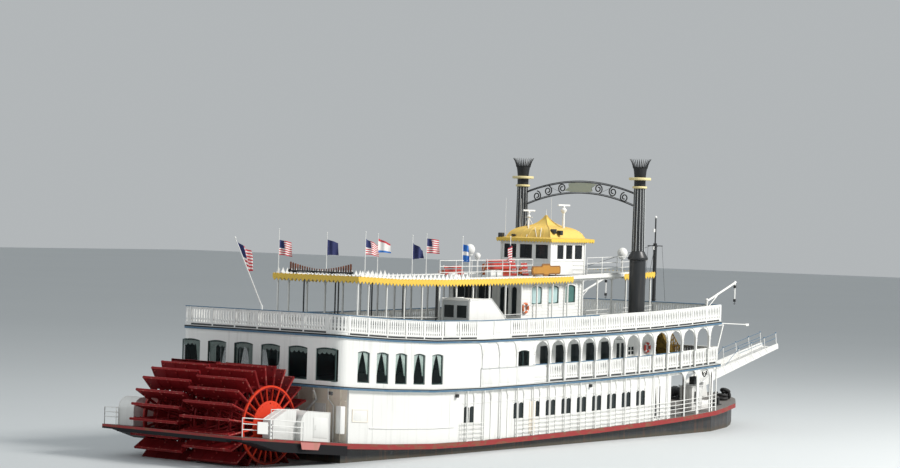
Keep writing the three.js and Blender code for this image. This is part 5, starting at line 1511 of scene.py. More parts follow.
finish([turned([(0.36, low), (out - 0.03, low), (out, low + 0.04), (out, high - 0.04), (out - 0.03, high),
                (0.36, high)], FUNNEL_X, FUNNEL_Y)
        for low, high, out in ((16.53, 16.7, 0.72), (16.0, 16.14, 0.48))], "funnel_rings_starboard",
       cream_paint, lifted=False)
twin = port_twin("funnel_starboard_fluted", "black_paint")
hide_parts("funnel_port")
for name in ("funnel_rings_starboard", "funnel_crown_starboard", "funnel_fillets_starboard"):
    port_twin(name)

# %% [markdown]
# The arch stiffens the two funnels against each other. It's forged: pairs of bowed bars above and
# below, and scrolls between them. The plate in its middle shows a badge on other ships. Here it's
# bare.

# %% Scrolled arch
def bow(end, middle, deep, thick):
    """A bowed flat bar between the funnels."""
    ys = [-4.31 + 8.62 * k / 32 for k in range(33)]
    low = [(y, middle + (end - middle) * (y / 4.69) ** 2) for y in ys]
    return board([low + [(y, z + deep) for y, z in reversed(low)]], thick, ACROSS, FUNNEL_X)


def spiral(y, z, start, sense, outer=0.33, inner=0.09, turns=1.55, steps=26):
    points = []
    for k in range(steps + 1):
        t = k / steps
        turn = start + sense * turns * 2 * math.pi * t
        radius = outer + (inner - outer) * t
        points.append((FUNNEL_X, y + radius * math.cos(turn), z + radius * math.sin(turn)))
    return points


scrolls = []
for side in SIDES:
    scrolls.append(spiral(side * 3.5, 15.4, math.pi / 2, side))
    far = spiral(side * 2.6, 15.75, math.pi / 2, side)
    near = spiral(side * 1.45, 15.94, -math.pi / 2, side)
    scrolls.append([*reversed(far), *near])
plaque_edge = [(-0.8, 15.78), (-0.7, 15.7), (0.7, 15.7), (0.8, 15.78), (0.74, 16.0), (0.8, 16.24),
               (0.7, 16.31), (-0.7, 16.31), (-0.8, 16.24), (-0.74, 16.0)]
finish([bow(15.47, 16.32, 0.07, 0.07), bow(15.55, 16.41, 0.05, 0.03), bow(14.65, 15.6, 0.07, 0.07),
        bow(14.75, 15.69, 0.04, 0.03), pipe(scrolls, 0.042, 6)], "arch_scrolls", *IN_BLACK, lifted=False,
       replaces=("funnel_arch",))
finish(bevelled(board([plaque_edge], 0.05, ACROSS, FUNNEL_X), 0.012), "arch_plaque", plaque_paint,
       lifted=False)
print("funnels and arch")

# %% [markdown]
# ## Pilothouse
# The pilot needs a clear view all round, so the walls are mostly panes between slim posts. The
# roof is a small pagoda: a wide toothed eave, hips bent over curved rafters, and a spire.

# %% Pilothouse walls
PILOT = {"aft": 28.25, "fore": 32.0, "half": 1.95, "low": 11.3, "high": 12.25}
ROOF_MIDDLE = 30.375
pilot_walls = weathered("pilot_walls", WHITE, SOOT, inner=INSIDE_SHADE, middle_x=30.1)
paint_nodes(["pilothouse_walls"], pilot_walls)


def pilot_windows(name, plane, across, places):
    frames, panes = [], []
    for c, wide in places:
        edge, inner = (
            oblong((c - wide, c + wide), (PILOT["low"], PILOT["high"]), grow) for grow in (0, -0.03))
        frames.append(board([edge, inner], 0.05, plane, across))
        panes.append(board([inner], GLASS_THICK, plane, across))
    finish(frames, f"{name}_frames", *IN_WHITE, lifted=False)
    finish(panes, f"{name}_panes", pilot_glass, lifted=False)


END_WINDOWS = [(y, 0.51) for y in (-1.25, 0, 1.25)]
SIDE_WINDOWS = [(29.33, 0.37), (30.3, 0.37)]
pilot_windows("pilot_aft", ACROSS, PILOT["aft"] + 0.03, END_WINDOWS)
pilot_windows("pilot_fore", ACROSS, PILOT["fore"] - 0.03, END_WINDOWS)
pilot_windows("pilot_starboard", ALONG, -PILOT["half"] + 0.03, [*SIDE_WINDOWS, (31.33, 0.43)])
pilot_windows("pilot_port", ALONG, PILOT["half"] - 0.03, SIDE_WINDOWS)
PILOT_FOOT = ROOF + sheer(PILOT["fore"])
door_dress("pilothouse_door", ALONG, PILOT["half"], 1, 30.99, 31.72, PILOT_FOOT + 0.05, PILOT_FOOT + 1.92,
           "pilothouse_door", leaves=1, split=0.42, lifted=False)
laps = [box((30.75, 32.02), (-1.985, -1.94), (z, z + 0.04)) for z in (10.4, 10.66, 10.92)]
sill = [box((PILOT["aft"] - 0.03, PILOT["fore"] + 0.03), (y - 0.03, y + 0.03), (11.2, 11.25))
        for y in (-1.95, 1.95)]
sill += [box((x - 0.03, x + 0.03), (-1.97, 1.97), (11.2, 11.25)) for x in (PILOT["aft"], PILOT["fore"])]
posts = [box((x - 0.05, x + 0.05), (y - 0.05, y + 0.05), (PILOT_FOOT + 0.01, 12.46))
         for x in (PILOT["aft"], PILOT["fore"]) for y in (-1.95, 1.95)]
finish([*laps, *sill, *posts], "pilothouse_trim", *IN_WHITE, lifted=False)
console = [bevelled(box((31.3, 31.8), (-1.2, 1.2), (PILOT_FOOT + 0.02, 11.15)), 0.04),
           ring((31.05, 0, 11.1), 0.42, 0.03, "X")]
finish(console, "pilot_console", brown_board, lifted=False)

# %% Pagoda roof
HIP = ((1, 12.49), (1, 12.6), (0.97, 12.62), (0.8, 12.68), (0.775, 12.78), (0.74, 12.93), (0.69, 13.06),
       (0.62, 13.18), (0.52, 13.29), (0.42, 13.35), (0.33, 13.41), (0.25, 13.5), (0.17, 13.63),
       (0.10, 13.8), (0.05, 13.95), (0.018, 14.1))
HALF_X, HALF_Y = 2.39, 2.19


def hip_ring(share, z):
    return [(ROOF_MIDDLE + sx * HALF_X * share, sy * HALF_Y * share, z)
            for sx, sy in ((-1, -1), (1, -1), (1, 1), (-1, 1))]


points = [point for share, z in HIP for point in hip_ring(share, z)]
faces = [(3, 2, 1, 0)]
for k in range(len(HIP) - 1):
    faces += [(4 * k + n, 4 * k + (n + 1) % 4, 4 * k + 4 + (n + 1) % 4, 4 * k + 4 + n) for n in range(4)]
faces.append(tuple(len(points) - 4 + n for n in range(4)))
hips = raw_mesh(points, [], faces)
ridges = pipe([[hip_ring(share, z + 0.008)[n] for share, z in HIP[3:]] for n in range(4)], 0.022)
seams = pipe([[(ROOF_MIDDLE - HALF_X * share - 0.005, HALF_Y * share * off, z) for share, z in HIP[3:12]]
              for off in (-0.7, -0.35, 0, 0.35, 0.7)], 0.012)
EAVE = (12.36, 12.6)
teeth = [board([toothed(ROOF_MIDDLE - HALF_X, ROOF_MIDDLE + HALF_X, *EAVE, 0.24, 0.1, 0.03)], 0.025, ALONG,
               y) for y in (-HALF_Y + 0.012, HALF_Y - 0.012)]
teeth += [board([toothed(-HALF_Y, HALF_Y, *EAVE, 0.24, 0.1, 0.03)], 0.025, ACROSS,
                ROOF_MIDDLE + e * (HALF_X - 0.012)) for e in SIDES]
finial = turned([(0.05, 14.05), (0.03, 14.12), (0.05, 14.16), (0.03, 14.2), (0.012, 14.24), (0.012, 14.48),
                 (0, 14.49)], ROOF_MIDDLE, 0, 16)
finish([hips, ridges, seams], "pagoda_roof", pagoda_paint, "awning_yellow", lifted=False,
       replaces=("pilothouse_roof",))
finish(teeth, "pagoda_eave", *IN_YELLOW, lifted=False)
guys = pipe([[(28.9, -0.2, 13.28), (28.42, -0.7, 12.7)], [(28.9, -0.71, 13.28), (28.42, -0.98, 12.7)],
             [(29.2, 0.5, 13.4), (28.42, 0.1, 12.7)]], 0.02)
finish(finial, "pagoda_finial", white_paint, lifted=False)
print("pilothouse and its pagoda roof")

# %% [markdown]
# Two radars turn above the roof. One stands on a stout post with a cone under its gearbox, the
# other on a tripod. Three whip aerials stand round them, with lamps and horns.

# %% Radars and aerials
RADARS = {"upper": (30.9, -1.0, 14.62), "lower": (29.7, 0.9, 14.22)}  # x, y and top of the post
for name, (x, y, top) in RADARS.items():
    scanner = bevelled(box((x - 0.64, x + 0.64), (y - 0.055, y + 0.055), (top + 0.105, top + 0.215)), 0.025)
    drum = turned([(0, top + 0.003), (0.085, top + 0.003), (0.09, top + 0.05), (0.06, top + 0.12),
                   (0, top + 0.12)], x, y, 20)
    finish([scanner, drum], f"radar_{name}_dressed", *IN_WHITE, f"radar_{name}", lifted=False,
           replaces=(f"radar_scanner_{name}",))
x, y, _ = RADARS["upper"]
post = turned(
    [(0, 12.9), (0.085, 12.9), (0.075, 14.25), (0.19, 14.4), (0.2, 14.5), (0.1, 14.6), (0, 14.6)], x, y, 24)
x, y, _ = RADARS["lower"]
legs = [rod((x + dx, y + dy, 12.95), (x, y, 13.95), 0.03, 8)
        for dx, dy in ((-0.5, -0.3), (0.45, -0.35), (0, 0.5))]
legs += [rod((x, y, 13.0), (x, y, 14.2), 0.05, 10), ball((x, y, 14.0), 0.13, 0.8),
         rod((x, y - 0.3, 13.95), (x, y + 0.3, 13.95), 0.02, 6)]
whips = [rod(foot, (foot[0], foot[1], high), 0.022, 6, 0.008) for foot, high in
         (((28.55, 1.9, 12.6), 15.15), ((32.3, 1.0, 12.95), 15.3), ((30.0, 1.75, 12.9), 15.15))]
finish([post, *legs, *whips, guys], "radar_posts", *IN_WHITE, lifted=False)
lamps = [bevelled(box((x - 0.14, x + 0.14), (y - 0.16, y + 0.16), (z, z + 0.3)), 0.03)
         for x, y, z in ((29.0, -1.6, 12.93), (29.5, -1.75, 12.85), (28.25, 2.0, 12.61))]
horns = [
    rod((28.9, 1.2 - 0.15 * k, 12.78), (28.35, 1.2 - 0.15 * k, 12.78), 0.02, 8, 0.07) for k in range(2)]
finish([*lamps, *horns], "roof_lamps", *IN_BLACK, lifted=False)

# %% [markdown]
# ## Roof rails, racks and domes
# The roof is a working deck. Pipe rails with four bars guard the parts where the crew walks. The
# red slatted racks hold life floats, which slide off by themselves if the boat sinks. The white
# domes cover satellite aerials and the long brown board is a name board, which stays blank here.

# %% Pipe rails on the roof
ROOF_BARS = (0.095, 0.445, 0.795, 1.15)


def pipe_fence(start, end, y, low=ROOF, bars=ROOF_BARS, high=1.15):
    count = round((end - start) / MODULE)
    pitch = (end - start) / count
    runs = [[(start, y, low + h), (end, y, low + h)] for h in bars]
    runs += [[(start + k * pitch, y, low), (start + k * pitch, y, low + high)] for k in range(count + 1)]
    return pipe(runs, 0.026)


def coaming(y):
    return box((7.95, 35.8), (y - 0.025, y + 0.025), (ROOF, ROOF + 0.08))


ROOF_RAIL_Y = 3.15
POLE_TALL = 2.58
POLE_AFT = (8.1, 12.4, 17.2, 22.0)
STARBOARD_SHIFT = 0.35
for side, hand in SIDE_NAME.items():
    y = side * ROOF_RAIL_Y
    fences = [pipe_fence(30.6, 35.7, y)] + ([pipe_fence(15.4, 24.7, y)] if side < 0 else [])
    poles = []
    for x in POLE_AFT:
        x += STARBOARD_SHIFT if side < 0 else 0
        poles += [rod((x, y, ROOF), (x, y, ROOF + POLE_TALL), 0.034, 8, 0.022),
                  ball((x, y, ROOF + POLE_TALL), 0.045, 0.8, 5),
                  rod((x, y, ROOF + 0.02), (x, y, ROOF + 0.12), 0.06, 8)]
    finish([coaming(y), *fences, *poles], f"roof_rail_dressed_{hand}", *IN_WHITE, smooth=60,
           replaces=(f"roof_rail_{hand}",))

# %% Racks, lockers, domes and the blank board
def rack(x0, x1, y, low, high, levels):
    """A frame of uprights with slats laid across it."""
    step_up = (high - low) / levels
    slats = [bevelled(box((x0, x1), (y - 0.25 + 0.05 * k, y - 0.2 + 0.05 * k),
                          (low + k * step_up + 0.03, low + (k + 0.8) * step_up)), 0.012, 1)
             for k in range(levels)]
    ends = [pipe([[(x, y - 0.2, ROOF), (x, y, high)], [(x, y + 0.45, ROOF), (x, y, high)]], 0.03)
            for x in (x0 + 0.1, x1 - 0.1)]
    floats = [bevelled(box((x0 + 0.1, x1 - 0.1), (y + 0.08, y + 0.4), (low + 0.1, high - 0.3)), 0.06)]
    return slats, ends, floats


racks = [rack(21.42, 24.35, -2.0, 9.56, 10.65, 5), rack(16.87, 18.65, -2.2, 9.69, 10.31, 3),
         rack(24.7, 25.3, -2.2, 9.56, 10.4, 4)]
slats, ends, floats = ([part for one in racks for part in one[kind]] for kind in range(3))
finish(slats, "float_racks", red_paint)
finish(ends, "float_rack_frames", *IN_WHITE)
finish(floats, "life_floats", orange_canvas)
lockers = [bevelled(box((x, x + 0.56), (-2.75, -2.3), (9.53, 9.96)), 0.03) for x in (20.95, 21.6)]
lockers += [bevelled(box((x - 0.02, x + 0.58), (-2.77, -2.28), (9.9, 9.99)), 0.02) for x in (20.95, 21.6)]
lockers += [bevelled(box((25.7, 27.4), (-2.4, -1.9), (9.48, 9.85)), 0.03)]
domes = [turned([(0.5 * math.cos(t), 9.48 + 0.42 * math.sin(t))
                 for t in [k * math.pi / 16 for k in range(9)]], 17.35, -2.6, 28)]
for x, y, at, r in ((20.4, -1.5, 11.22, 0.33), (21.2, -1.5, 10.82, 0.2), (35.55, -2.5, 10.8, 0.34)):
    domes += [ball((x, y, at), r, 1.05, 12), rod((x, y, ROOF), (x, y, at - r * 0.8), 0.06, 10),
              rod((x, y, at - r * 1.1), (x, y, at - r * 0.62), r * 0.55, 20, r * 0.75)]
finish([*lockers, *domes], "roof_lockers", *IN_WHITE, smooth=50)
x0, x1, low, high = 24.54, 27.67, 9.66, 10.2
face = [
    (x0 + 0.14, low), (25.8, low), (25.95, low - 0.1), (26.3, low - 0.1), (26.45, low), (x1 - 0.08, low),
    (x1, low + 0.1), (x1, high - 0.1), (x1 - 0.08, high), (26.6, high), (26.5, high + 0.14),
    (25.75, high + 0.14), (25.65, high), (x0 + 0.14, high), (x0 + 0.02, (low + high) / 2)]
foot = [box((x, x + 0.06), (-3.17, -3.11), (ROOF, low + 0.1)) for x in (24.9, 27.2)]
panel = [(x0 + (x - x0) * 0.93 + (x1 - x0) * 0.035, low + (z - low) * 0.72 + 0.08) for x, z in face]
finish([board([face], 0.05, ALONG, -3.16), *foot], "roof_board", brown_board)
finish(board([panel], 0.03, ALONG, -3.19), "roof_board_panel", board_paint)
knobs = [ball((7.8, y, ROOF + 0.07), 0.05, 1.2, 5) for y in [-3.05 + 0.28 * k for k in range(14)]]
finish(knobs, "aft_knobs", white_paint)
print("roof rails and roof gear")

# %% [markdown]
# ## Flags
# Each flag is one sheet of bunting, sewn from stripes and hoisted by two corners. In light wind it
# swings out a little, droops at the fly and folds along lines that run down from the top corner.
# The cantons and fields are left without their stars and arms.

# %% Bunting
def bunting(name, paint_it):
    """Cloth coloured by the share along the fly (u) and up the hoist (v)."""
    paint = Paint(name)
    where = paint.node("ShaderNodeTexCoord", {}, {}, "UV")
    weave = paint.noise(240, 2)
    return paint.set(Base_Color=paint_it(paint, paint.axis("X", where), paint.axis("Y", where)),
                     Roughness=weave * 0.1 + 0.8, Normal=paint.bump(weave, 0.0006, 0.5))


RED, NAVY, CREAM, AZURE = (0.52, 0.045, 0.06), (0.025, 0.035, 0.13), (0.78, 0.76, 0.74), (0.03, 0.16, 0.5)


def striped(paint, u, v):
    stripes = paint.mix((v * 6.5).math("FRACT").below(0.5), CREAM, RED)
    return paint.mix(u.below(0.42) * v.above(0.46), stripes, NAVY)


def banded(paint, u, v):
    return paint.mix(v.below(0.16), paint.mix(v.above(0.82), CREAM, RED), AZURE)


def halved(paint, u, v):
    return paint.mix(v.above(0.38) * v.below(0.6), AZURE, CREAM)


striped_cloth = bunting("striped_cloth", striped)
banded_cloth = bunting("banded_cloth", banded)
halved_cloth = bunting("halved_cloth", halved)
navy_cloth = cloth("navy_cloth", NAVY, (0.015, 0.02, 0.08))


def flag(x, y, top, hoist, reach, droop, squeeze, sway, turn):
    """Swings out by reach and droops at the fly, whose edge is squeezed, and sways to and fro."""
    ahead, across = math.cos(turn), math.sin(turn)

    def place(u, v):
        swing = sway * math.sin(2 * math.pi * (1.3 * u + 0.22 * v)) * min(1, 2.5 * u)
        out = reach * (u - 0.12 * math.sin(math.pi * u) * (1 - v))
        z = top - hoist * v * (1 - squeeze * u) - droop * u ** 1.3
        return (x + 0.04 * ahead + out * ahead - swing * across, y + out * across + swing * ahead, z)
    return place


FLAGS = (
    # pole's x, side, top, hoist, reach, droop, squeeze, sway, turn, cloth
    (8.1, 1, 11.43, 0.88, 0.85, 0.12, 0.05, 0.13, -0.4, striped_cloth),
    (12.4, 1, 11.65, 0.95, 0.82, 0.2, 0.22, 0.09, -0.3, navy_cloth),
    (17.2, 1, 11.78, 0.88, 0.95, 0.34, 0.35, 0.10, -0.3, banded_cloth),
    (22.0, 1, 11.78, 0.92, 0.92, 0.1, 0.05, 0.14, -0.4, striped_cloth),
    (8.45, -1, 11.66, 0.9, 0.98, 0.34, 0.3, 0.11, -0.2, striped_cloth),
    (12.75, -1, 11.62, 1.0, 0.8, 0.45, 0.55, 0.15, -0.3, navy_cloth),
    (17.55, -1, 11.6, 1.06, 0.5, 0.12, 0.1, 0.14, -0.3, halved_cloth),
    (22.35, -1, 11.6, 1.2, -0.42, 0.3, 0.2, 0.12, 0.5, striped_cloth),
)
for number, (x, side, *shape, turn, bunting_cloth) in enumerate(FLAGS):
    cloth_piece(f"flag_{number}", flag(x, side * ROOF_RAIL_Y, *shape, turn), 0, shape[1],
                material=bunting_cloth)

# %% Stern staff and its flag
STAFF_FOOT, STAFF_BEND, STAFF_HEAD = (3.25, 0, THIRD + sheer(3.25) + 0.001), (3.25, 0, 8.45), (0.9, 0, 12.3)
staff = [rod(STAFF_FOOT, (3.25, 0, 8.5), 0.07, 12), rod(STAFF_BEND, STAFF_HEAD, 0.045, 10, 0.028),
         ball(STAFF_BEND, 0.075), ball(STAFF_HEAD, 0.06),
         rod((3.25, 0, STAFF_FOOT[2]), (3.25, 0, STAFF_FOOT[2] + 0.06), 0.12, 12)]
finish(staff, "stern_staff_dressed", *IN_WHITE, lifted=False, replaces=("stern_staff",))


def ensign(u, v):
    """Hangs from a leaning staff, so that the fly falls back towards it in deep folds."""
    share = 0.01 + 0.48 * v
    hoist_x, hoist_z = (
        a + (b - a) * share for a, b in ((STAFF_HEAD[0], STAFF_BEND[0]), (STAFF_HEAD[2], STAFF_BEND[2])))
    fly_x, fly_z = 2.15 + 0.25 * v, 11.6 - 1.05 * v
    fold = 0.13 * math.sin(2 * math.pi * (1.6 * u + 0.5 * v)) * min(1, 3 * u) * (1 - 0.3 * v)
    sag = -0.12 * math.sin(math.pi * u) * (1 - v)
    return hoist_x + (fly_x - hoist_x) * u + 0.03, fold, hoist_z + (fly_z - hoist_z) * u + sag - 0.1 * u * v


cloth_piece("ensign", ensign, 0, 2.2, material=striped_cloth, lifted=False)
print(len(FLAGS) + 1, "flags")

# %% [markdown]
# ## Calliope
# The steam organ stands at the roof's after edge, where its noise carries over the water. A
# manifold feeds steam to a row of copper whistles; the long ones at the ends play the low notes.
# Each whistle is a cup with a bell over it, so it's turned with a groove between the two.

# %% Whistles
WHISTLES = 26
CALLIOPE_X = 8.6
base = ROOF + sheer(CALLIOPE_X)
manifold, low = base + 0.195, base + 0.24
whistles = []
for k in range(WHISTLES):
    share = 2 * k / (WHISTLES - 1) - 1
    y, tall, r = 0.32 + share * 2.3, 0.12 + 0.36 * abs(share) ** 1.6, 0.036 + 0.022 * abs(share)
    whistles.append(turned([(0, low), (0.02, low), (r, low + 0.05), (r, low + 0.08), (r * 0.5, low + 0.1),
                            (r, low + 0.12), (r, low + tall - 0.03), (r * 0.4, low + tall),
                            (0, low + tall)], CALLIOPE_X, y, 10))
finish(whistles, "whistles", copper, lifted=False, replaces=("calliope",))
frame_bars = [rod((CALLIOPE_X, near, manifold), (CALLIOPE_X, far, manifold), radius, 12)
              for near, far, radius in ((-2.1, 2.74, 0.05), (-2.12, -2.06, 0.09), (2.7, 2.76, 0.09))]
frame_bars.append(box((8.44, 8.76), (-2.05, 2.65), (base + 0.1, base + 0.13)))
for y in (-1.93, -0.6, 0.9, 2.3):
    frame_bars += [
        rod((x, y, ROOF + sheer(x) + 0.002), (x, y, base + 0.12), 0.032, 8) for x in (8.47, 8.73)]
    frame_bars.append(box((8.42, 8.78), (y - 0.05, y + 0.05), (base + 0.1, base + 0.15)))
finish(frame_bars, "calliope_frame", *IN_BLACK, lifted=False)

# %% [markdown]
# ## Grand stair and the fore deck
# The gilded stair leads from the second deck up to the third. Its balusters are rods with cast
# rings, and its handrail is one bent bar. A dark iron fence closes the well beside it.

# %% Gilded balustrade and the iron fence
STAIR = {"foot": 40.9, "top": 38.4, "run": 2.5, "steps": 12}
stair_low, stair_high = SECOND, THIRD_UNDER


def stair_z(x):
    return stair_low + (STAIR["foot"] - x) / (STAIR["foot"] - STAIR["top"]) * (stair_high - stair_low)


parts = []
for y in (-3.82, -2.58):
    scrolls_up = []
    for k in range(8):
        x = STAIR["foot"] - (k + 0.5) * STAIR["run"] / STAIR["steps"]
        z = stair_z(x) + 0.05
        tall = min(0.82, stair_high - z - 0.12)
        parts.append(rod((x, y, z), (x, y, z + tall), 0.028, 8))
        if tall > 0.5:
            parts.append(ring((x, y, z + tall * 0.45), 0.085, 0.022, "Y", 16, 6))
            parts.append(ring((x, y, z + tall * 0.78), 0.05, 0.018, "Y", 12, 6))
    xs = (40.98, 40.4, 39.6, 39.0)
    scrolls_up.append([(x, y, min(stair_z(x) + 0.9, stair_high - 0.06)) for x in xs])
    scrolls_up.append([(x, y, stair_z(x) + 0.09) for x in (40.85, 38.75)])
    parts += [
        pipe(scrolls_up, 0.035, 8), rod((40.98, y, stair_low), (40.98, y, stair_low + 0.98), 0.06, 12),
        ball((40.98, y, stair_low + 1.05), 0.09)]
noses = [box((x - 0.03, x + 0.015), (-3.79, -2.61), (stair_z(x) - 0.02, stair_z(x) + 0.005))
         for x in [STAIR["foot"] - k * STAIR["run"] / STAIR["steps"] + 0.01 for k in range(1, 12)]]
finish(parts, "stair_balustrade", gilding, "gilding", smooth=50)
finish(noses, "stair_noses", *IN_BLACK)


def iron_fence(corners, low, high, gap=0.11):
    runs = []
    for (x0, y0), (x1, y1) in zip(corners, corners[1:]):
        count = max(1, round(math.hypot(x1 - x0, y1 - y0) / gap))
        runs += [[(x0 + (x1 - x0) * k / count, y0 + (y1 - y0) * k / count, low),
                  (x0 + (x1 - x0) * k / count, y0 + (y1 - y0) * k / count, high)] for k in range(count + 1)]
        runs += [[(x0, y0, z), (x1, y1, z)] for z in (low + 0.1, high)]
    return pipe(runs, 0.016, 6)


finish(iron_fence([(42.05, -2.4), (42.05, -4.2), (41.05, -4.2)], SECOND, SECOND + 1.05),
       "well_fence_starboard", *IN_BLACK, smooth=60)
port_twin("well_fence_starboard", "black_paint")

# %% [markdown]
# Under the second deck's fore end stand white lockers with a pipe between them and dark coils that
# hang from above. On the open fore deck are the windlass, the bitts and a heap of old tyres that
# serve as fenders.

# %% Bow deck fittings
locker = [bevelled(box((40.75, 42.0), (-4.9, -3.9), (MAIN, MAIN + 1.6)), 0.04),
          bevelled(box((40.7, 42.05), (-4.95, -3.85), (MAIN + 1.6, MAIN + 1.66)), 0.02),
          rod((42.75, -4.3, MAIN + 0.4), (41.9, -4.3, MAIN + 2.0), 0.11, 12),
          bevelled(box((42.4, 43.3), (-4.6, -4.0), (MAIN, MAIN + 0.5)), 0.04)]
pair(locker, "bow_locker", *IN_WHITE)
dark = [bevelled(box((40.78, 41.36), (-5.0, -4.6), (MAIN + 1.78, MAIN + 2.3)), 0.03),
        box((41.0, 41.5), (-4.965, -4.95), (MAIN + 0.5, MAIN + 1.3))]
dark += [
    ring((42.2, -4.9, SECOND_UNDER - 0.42 - 0.1 * k), 0.3 - 0.08 * k, 0.025, "Y", 20, 6) for k in range(3)]
dark += [rod((41.07, -4.8, MAIN + 2.3), (41.07, -4.8, SECOND_UNDER), 0.03),
         rod((42.2, -4.9, SECOND_UNDER - 0.15), (42.2, -4.9, SECOND_UNDER), 0.03)]
pair(dark, "bow_dark_gear", *IN_BLACK)
WIND_X, WIND_Z = 46.2, MAIN + 0.56
drums = [ring((WIND_X, y, WIND_Z), 0.31, 0.035, "Y", 32, 8) for y in (-1.08, -0.55, 0.55, 1.08)]
drums += [ring((WIND_X, y, WIND_Z), 0.3, 0.022, "Y", 32, 6)
          for y in (-0.95, -0.87, -0.79, -0.71, 0.71, 0.79, 0.87, 0.95)]
drums += [rod((WIND_X, -0.12, WIND_Z), (WIND_X, 0.12, WIND_Z), 0.36, 32),
          rod((WIND_X + 0.45, 0, MAIN), (WIND_X + 0.52, 0, MAIN + 0.95), 0.025, 8)]
drums += [
    box((WIND_X - 0.45, WIND_X + 0.45), (y - 0.05, y + 0.05), (MAIN, MAIN + 0.3)) for y in (-0.4, 0.4)]
finish(drums, "windlass_gear", *IN_BLACK, smooth=40)
bitts = []
for x, y in ((44.6, -4.35), (47.6, -2.3)):
    for shift in (-0.28, 0.28):
        bitts += [turned([(0, MAIN + 0.06), (0.11, MAIN + 0.06), (0.1, MAIN + 0.42), (0.14, MAIN + 0.46),
                          (0.14, MAIN + 0.5), (0, MAIN + 0.53)], x + shift, y, 16)]
    bitts.append(bevelled(box((x - 0.5, x + 0.5), (y - 0.16, y + 0.16), (MAIN, MAIN + 0.07)), 0.02))
pair(bitts, "bitts", *IN_BLACK, smooth=40)
tyres = []
for x, y, z, tilt in ((47.5, -3.1, 0.12, 0.0), (47.55, -3.05, 0.34, 0.15), (48.25, -2.9, 0.3, 1.2),
                      (47.95, -3.0, 0.6, 0.5), (48.5, -2.6, 0.13, 0.05)):
    tyre = ring((0, 0, 0), 0.27, 0.11, "Z", 24, 10)
    tyre.data.transform(Matrix.Translation((x, y, MAIN + z)) @ Matrix.Rotation(tilt, 4, "Y"))
    tyres.append(tyre)
finish(tyres, "tyre_fenders", rubber, smooth=60)
print("stair and fore deck")

# %% [markdown]
# ## Landing stage
# The stage is a gangway that hinges at the bow and is let down onto a bank. Two deep beams taper
# to the tip, battens across its deck give a foothold, and wires run between its posts. All of this
# moves with the stage.

# %% Stage deck, wires and roller
STAGE_BODY = "landing_stage"
STAGE = {"half": 0.72, "root": (50.4, 3.15), "tip": (58.7, 5.02), "posts": (53.55, 55.25, 57.0, 58.6)}


def stage_deck(x):
    share = (x - STAGE["root"][0]) / (STAGE["tip"][0] - STAGE["root"][0])
    return STAGE["root"][1] + share * (STAGE["tip"][1] - STAGE["root"][1])


def stage_rail(x):
    return 3.63 + (x - 50.5) / 8.22 * 1.65


def stage_foot(x):
    return 2.99 + (x - STAGE["root"][0]) * 0.2368


battens = [box((x - 0.03, x + 0.03), (-0.6, 0.6), (stage_deck(x) - 0.005, stage_deck(x) + 0.025))
           for x in [50.6 + 0.3 * k for k in range(27)]]
finish(battens, "stage_battens", grey_paint, body=STAGE_BODY, lifted=False)
wires, heads = [], []
for y in (-0.66, 0.66):
    for lift_by in (0.45, 0.8):
        wires.append(
            [(x - 0.07 - 0.08 * lift_by / 0.8, y, stage_rail(x) + lift_by - 0.02) for x in STAGE["posts"]])
    wires.append([(51.6, y, stage_rail(51.6)), (53.4, y, stage_rail(53.55) + 0.78)])
    heads += [ball((x - 0.15, y, stage_rail(x) + 0.82), 0.05, 1, 6) for x in STAGE["posts"]]
finish([pipe(wires, 0.016), *heads], "stage_wires", *IN_BLUE, body=STAGE_BODY, lifted=False, smooth=60)
flanges = []
for y in (-0.725, 0.725):
    flanges += [bevelled(rod((50.6, y, 3.64), (58.7, y, 5.27), 0.035, 4), 0.008, 1),
                rod((50.4, y, 2.99), (58.72, y, 4.96), 0.03, 6)]
    flanges += [rod((x, y, stage_rail(x) - 0.03), (x + 0.35, y, stage_foot(x + 0.35) + 0.02), 0.022, 6)
                for x in [51.3 + 0.95 * k for k in range(8)]]
flanges.append(rod((58.74, -0.66, 5.0), (58.74, 0.66, 5.0), 0.05, 12))
finish(flanges, "stage_flanges", *IN_WHITE, body=STAGE_BODY, lifted=False)
pins = [rod((48.7, y - 0.03, 2.6), (48.7, y + 0.03, 2.6), 0.1, 16) for y in (-0.76, 0.76)]
finish(pins, "stage_pins", *IN_BLACK, body=STAGE_BODY, lifted=False)

# %% [markdown]
# ## Davits, mast and stays
# Each davit swings a boat or a load over the side. A brace stiffens its arm and a purchase of two
# blocks hangs from it. The mast carries a yard for signals and the steaming lights, and two wire
# stays hold it to the awning roof.

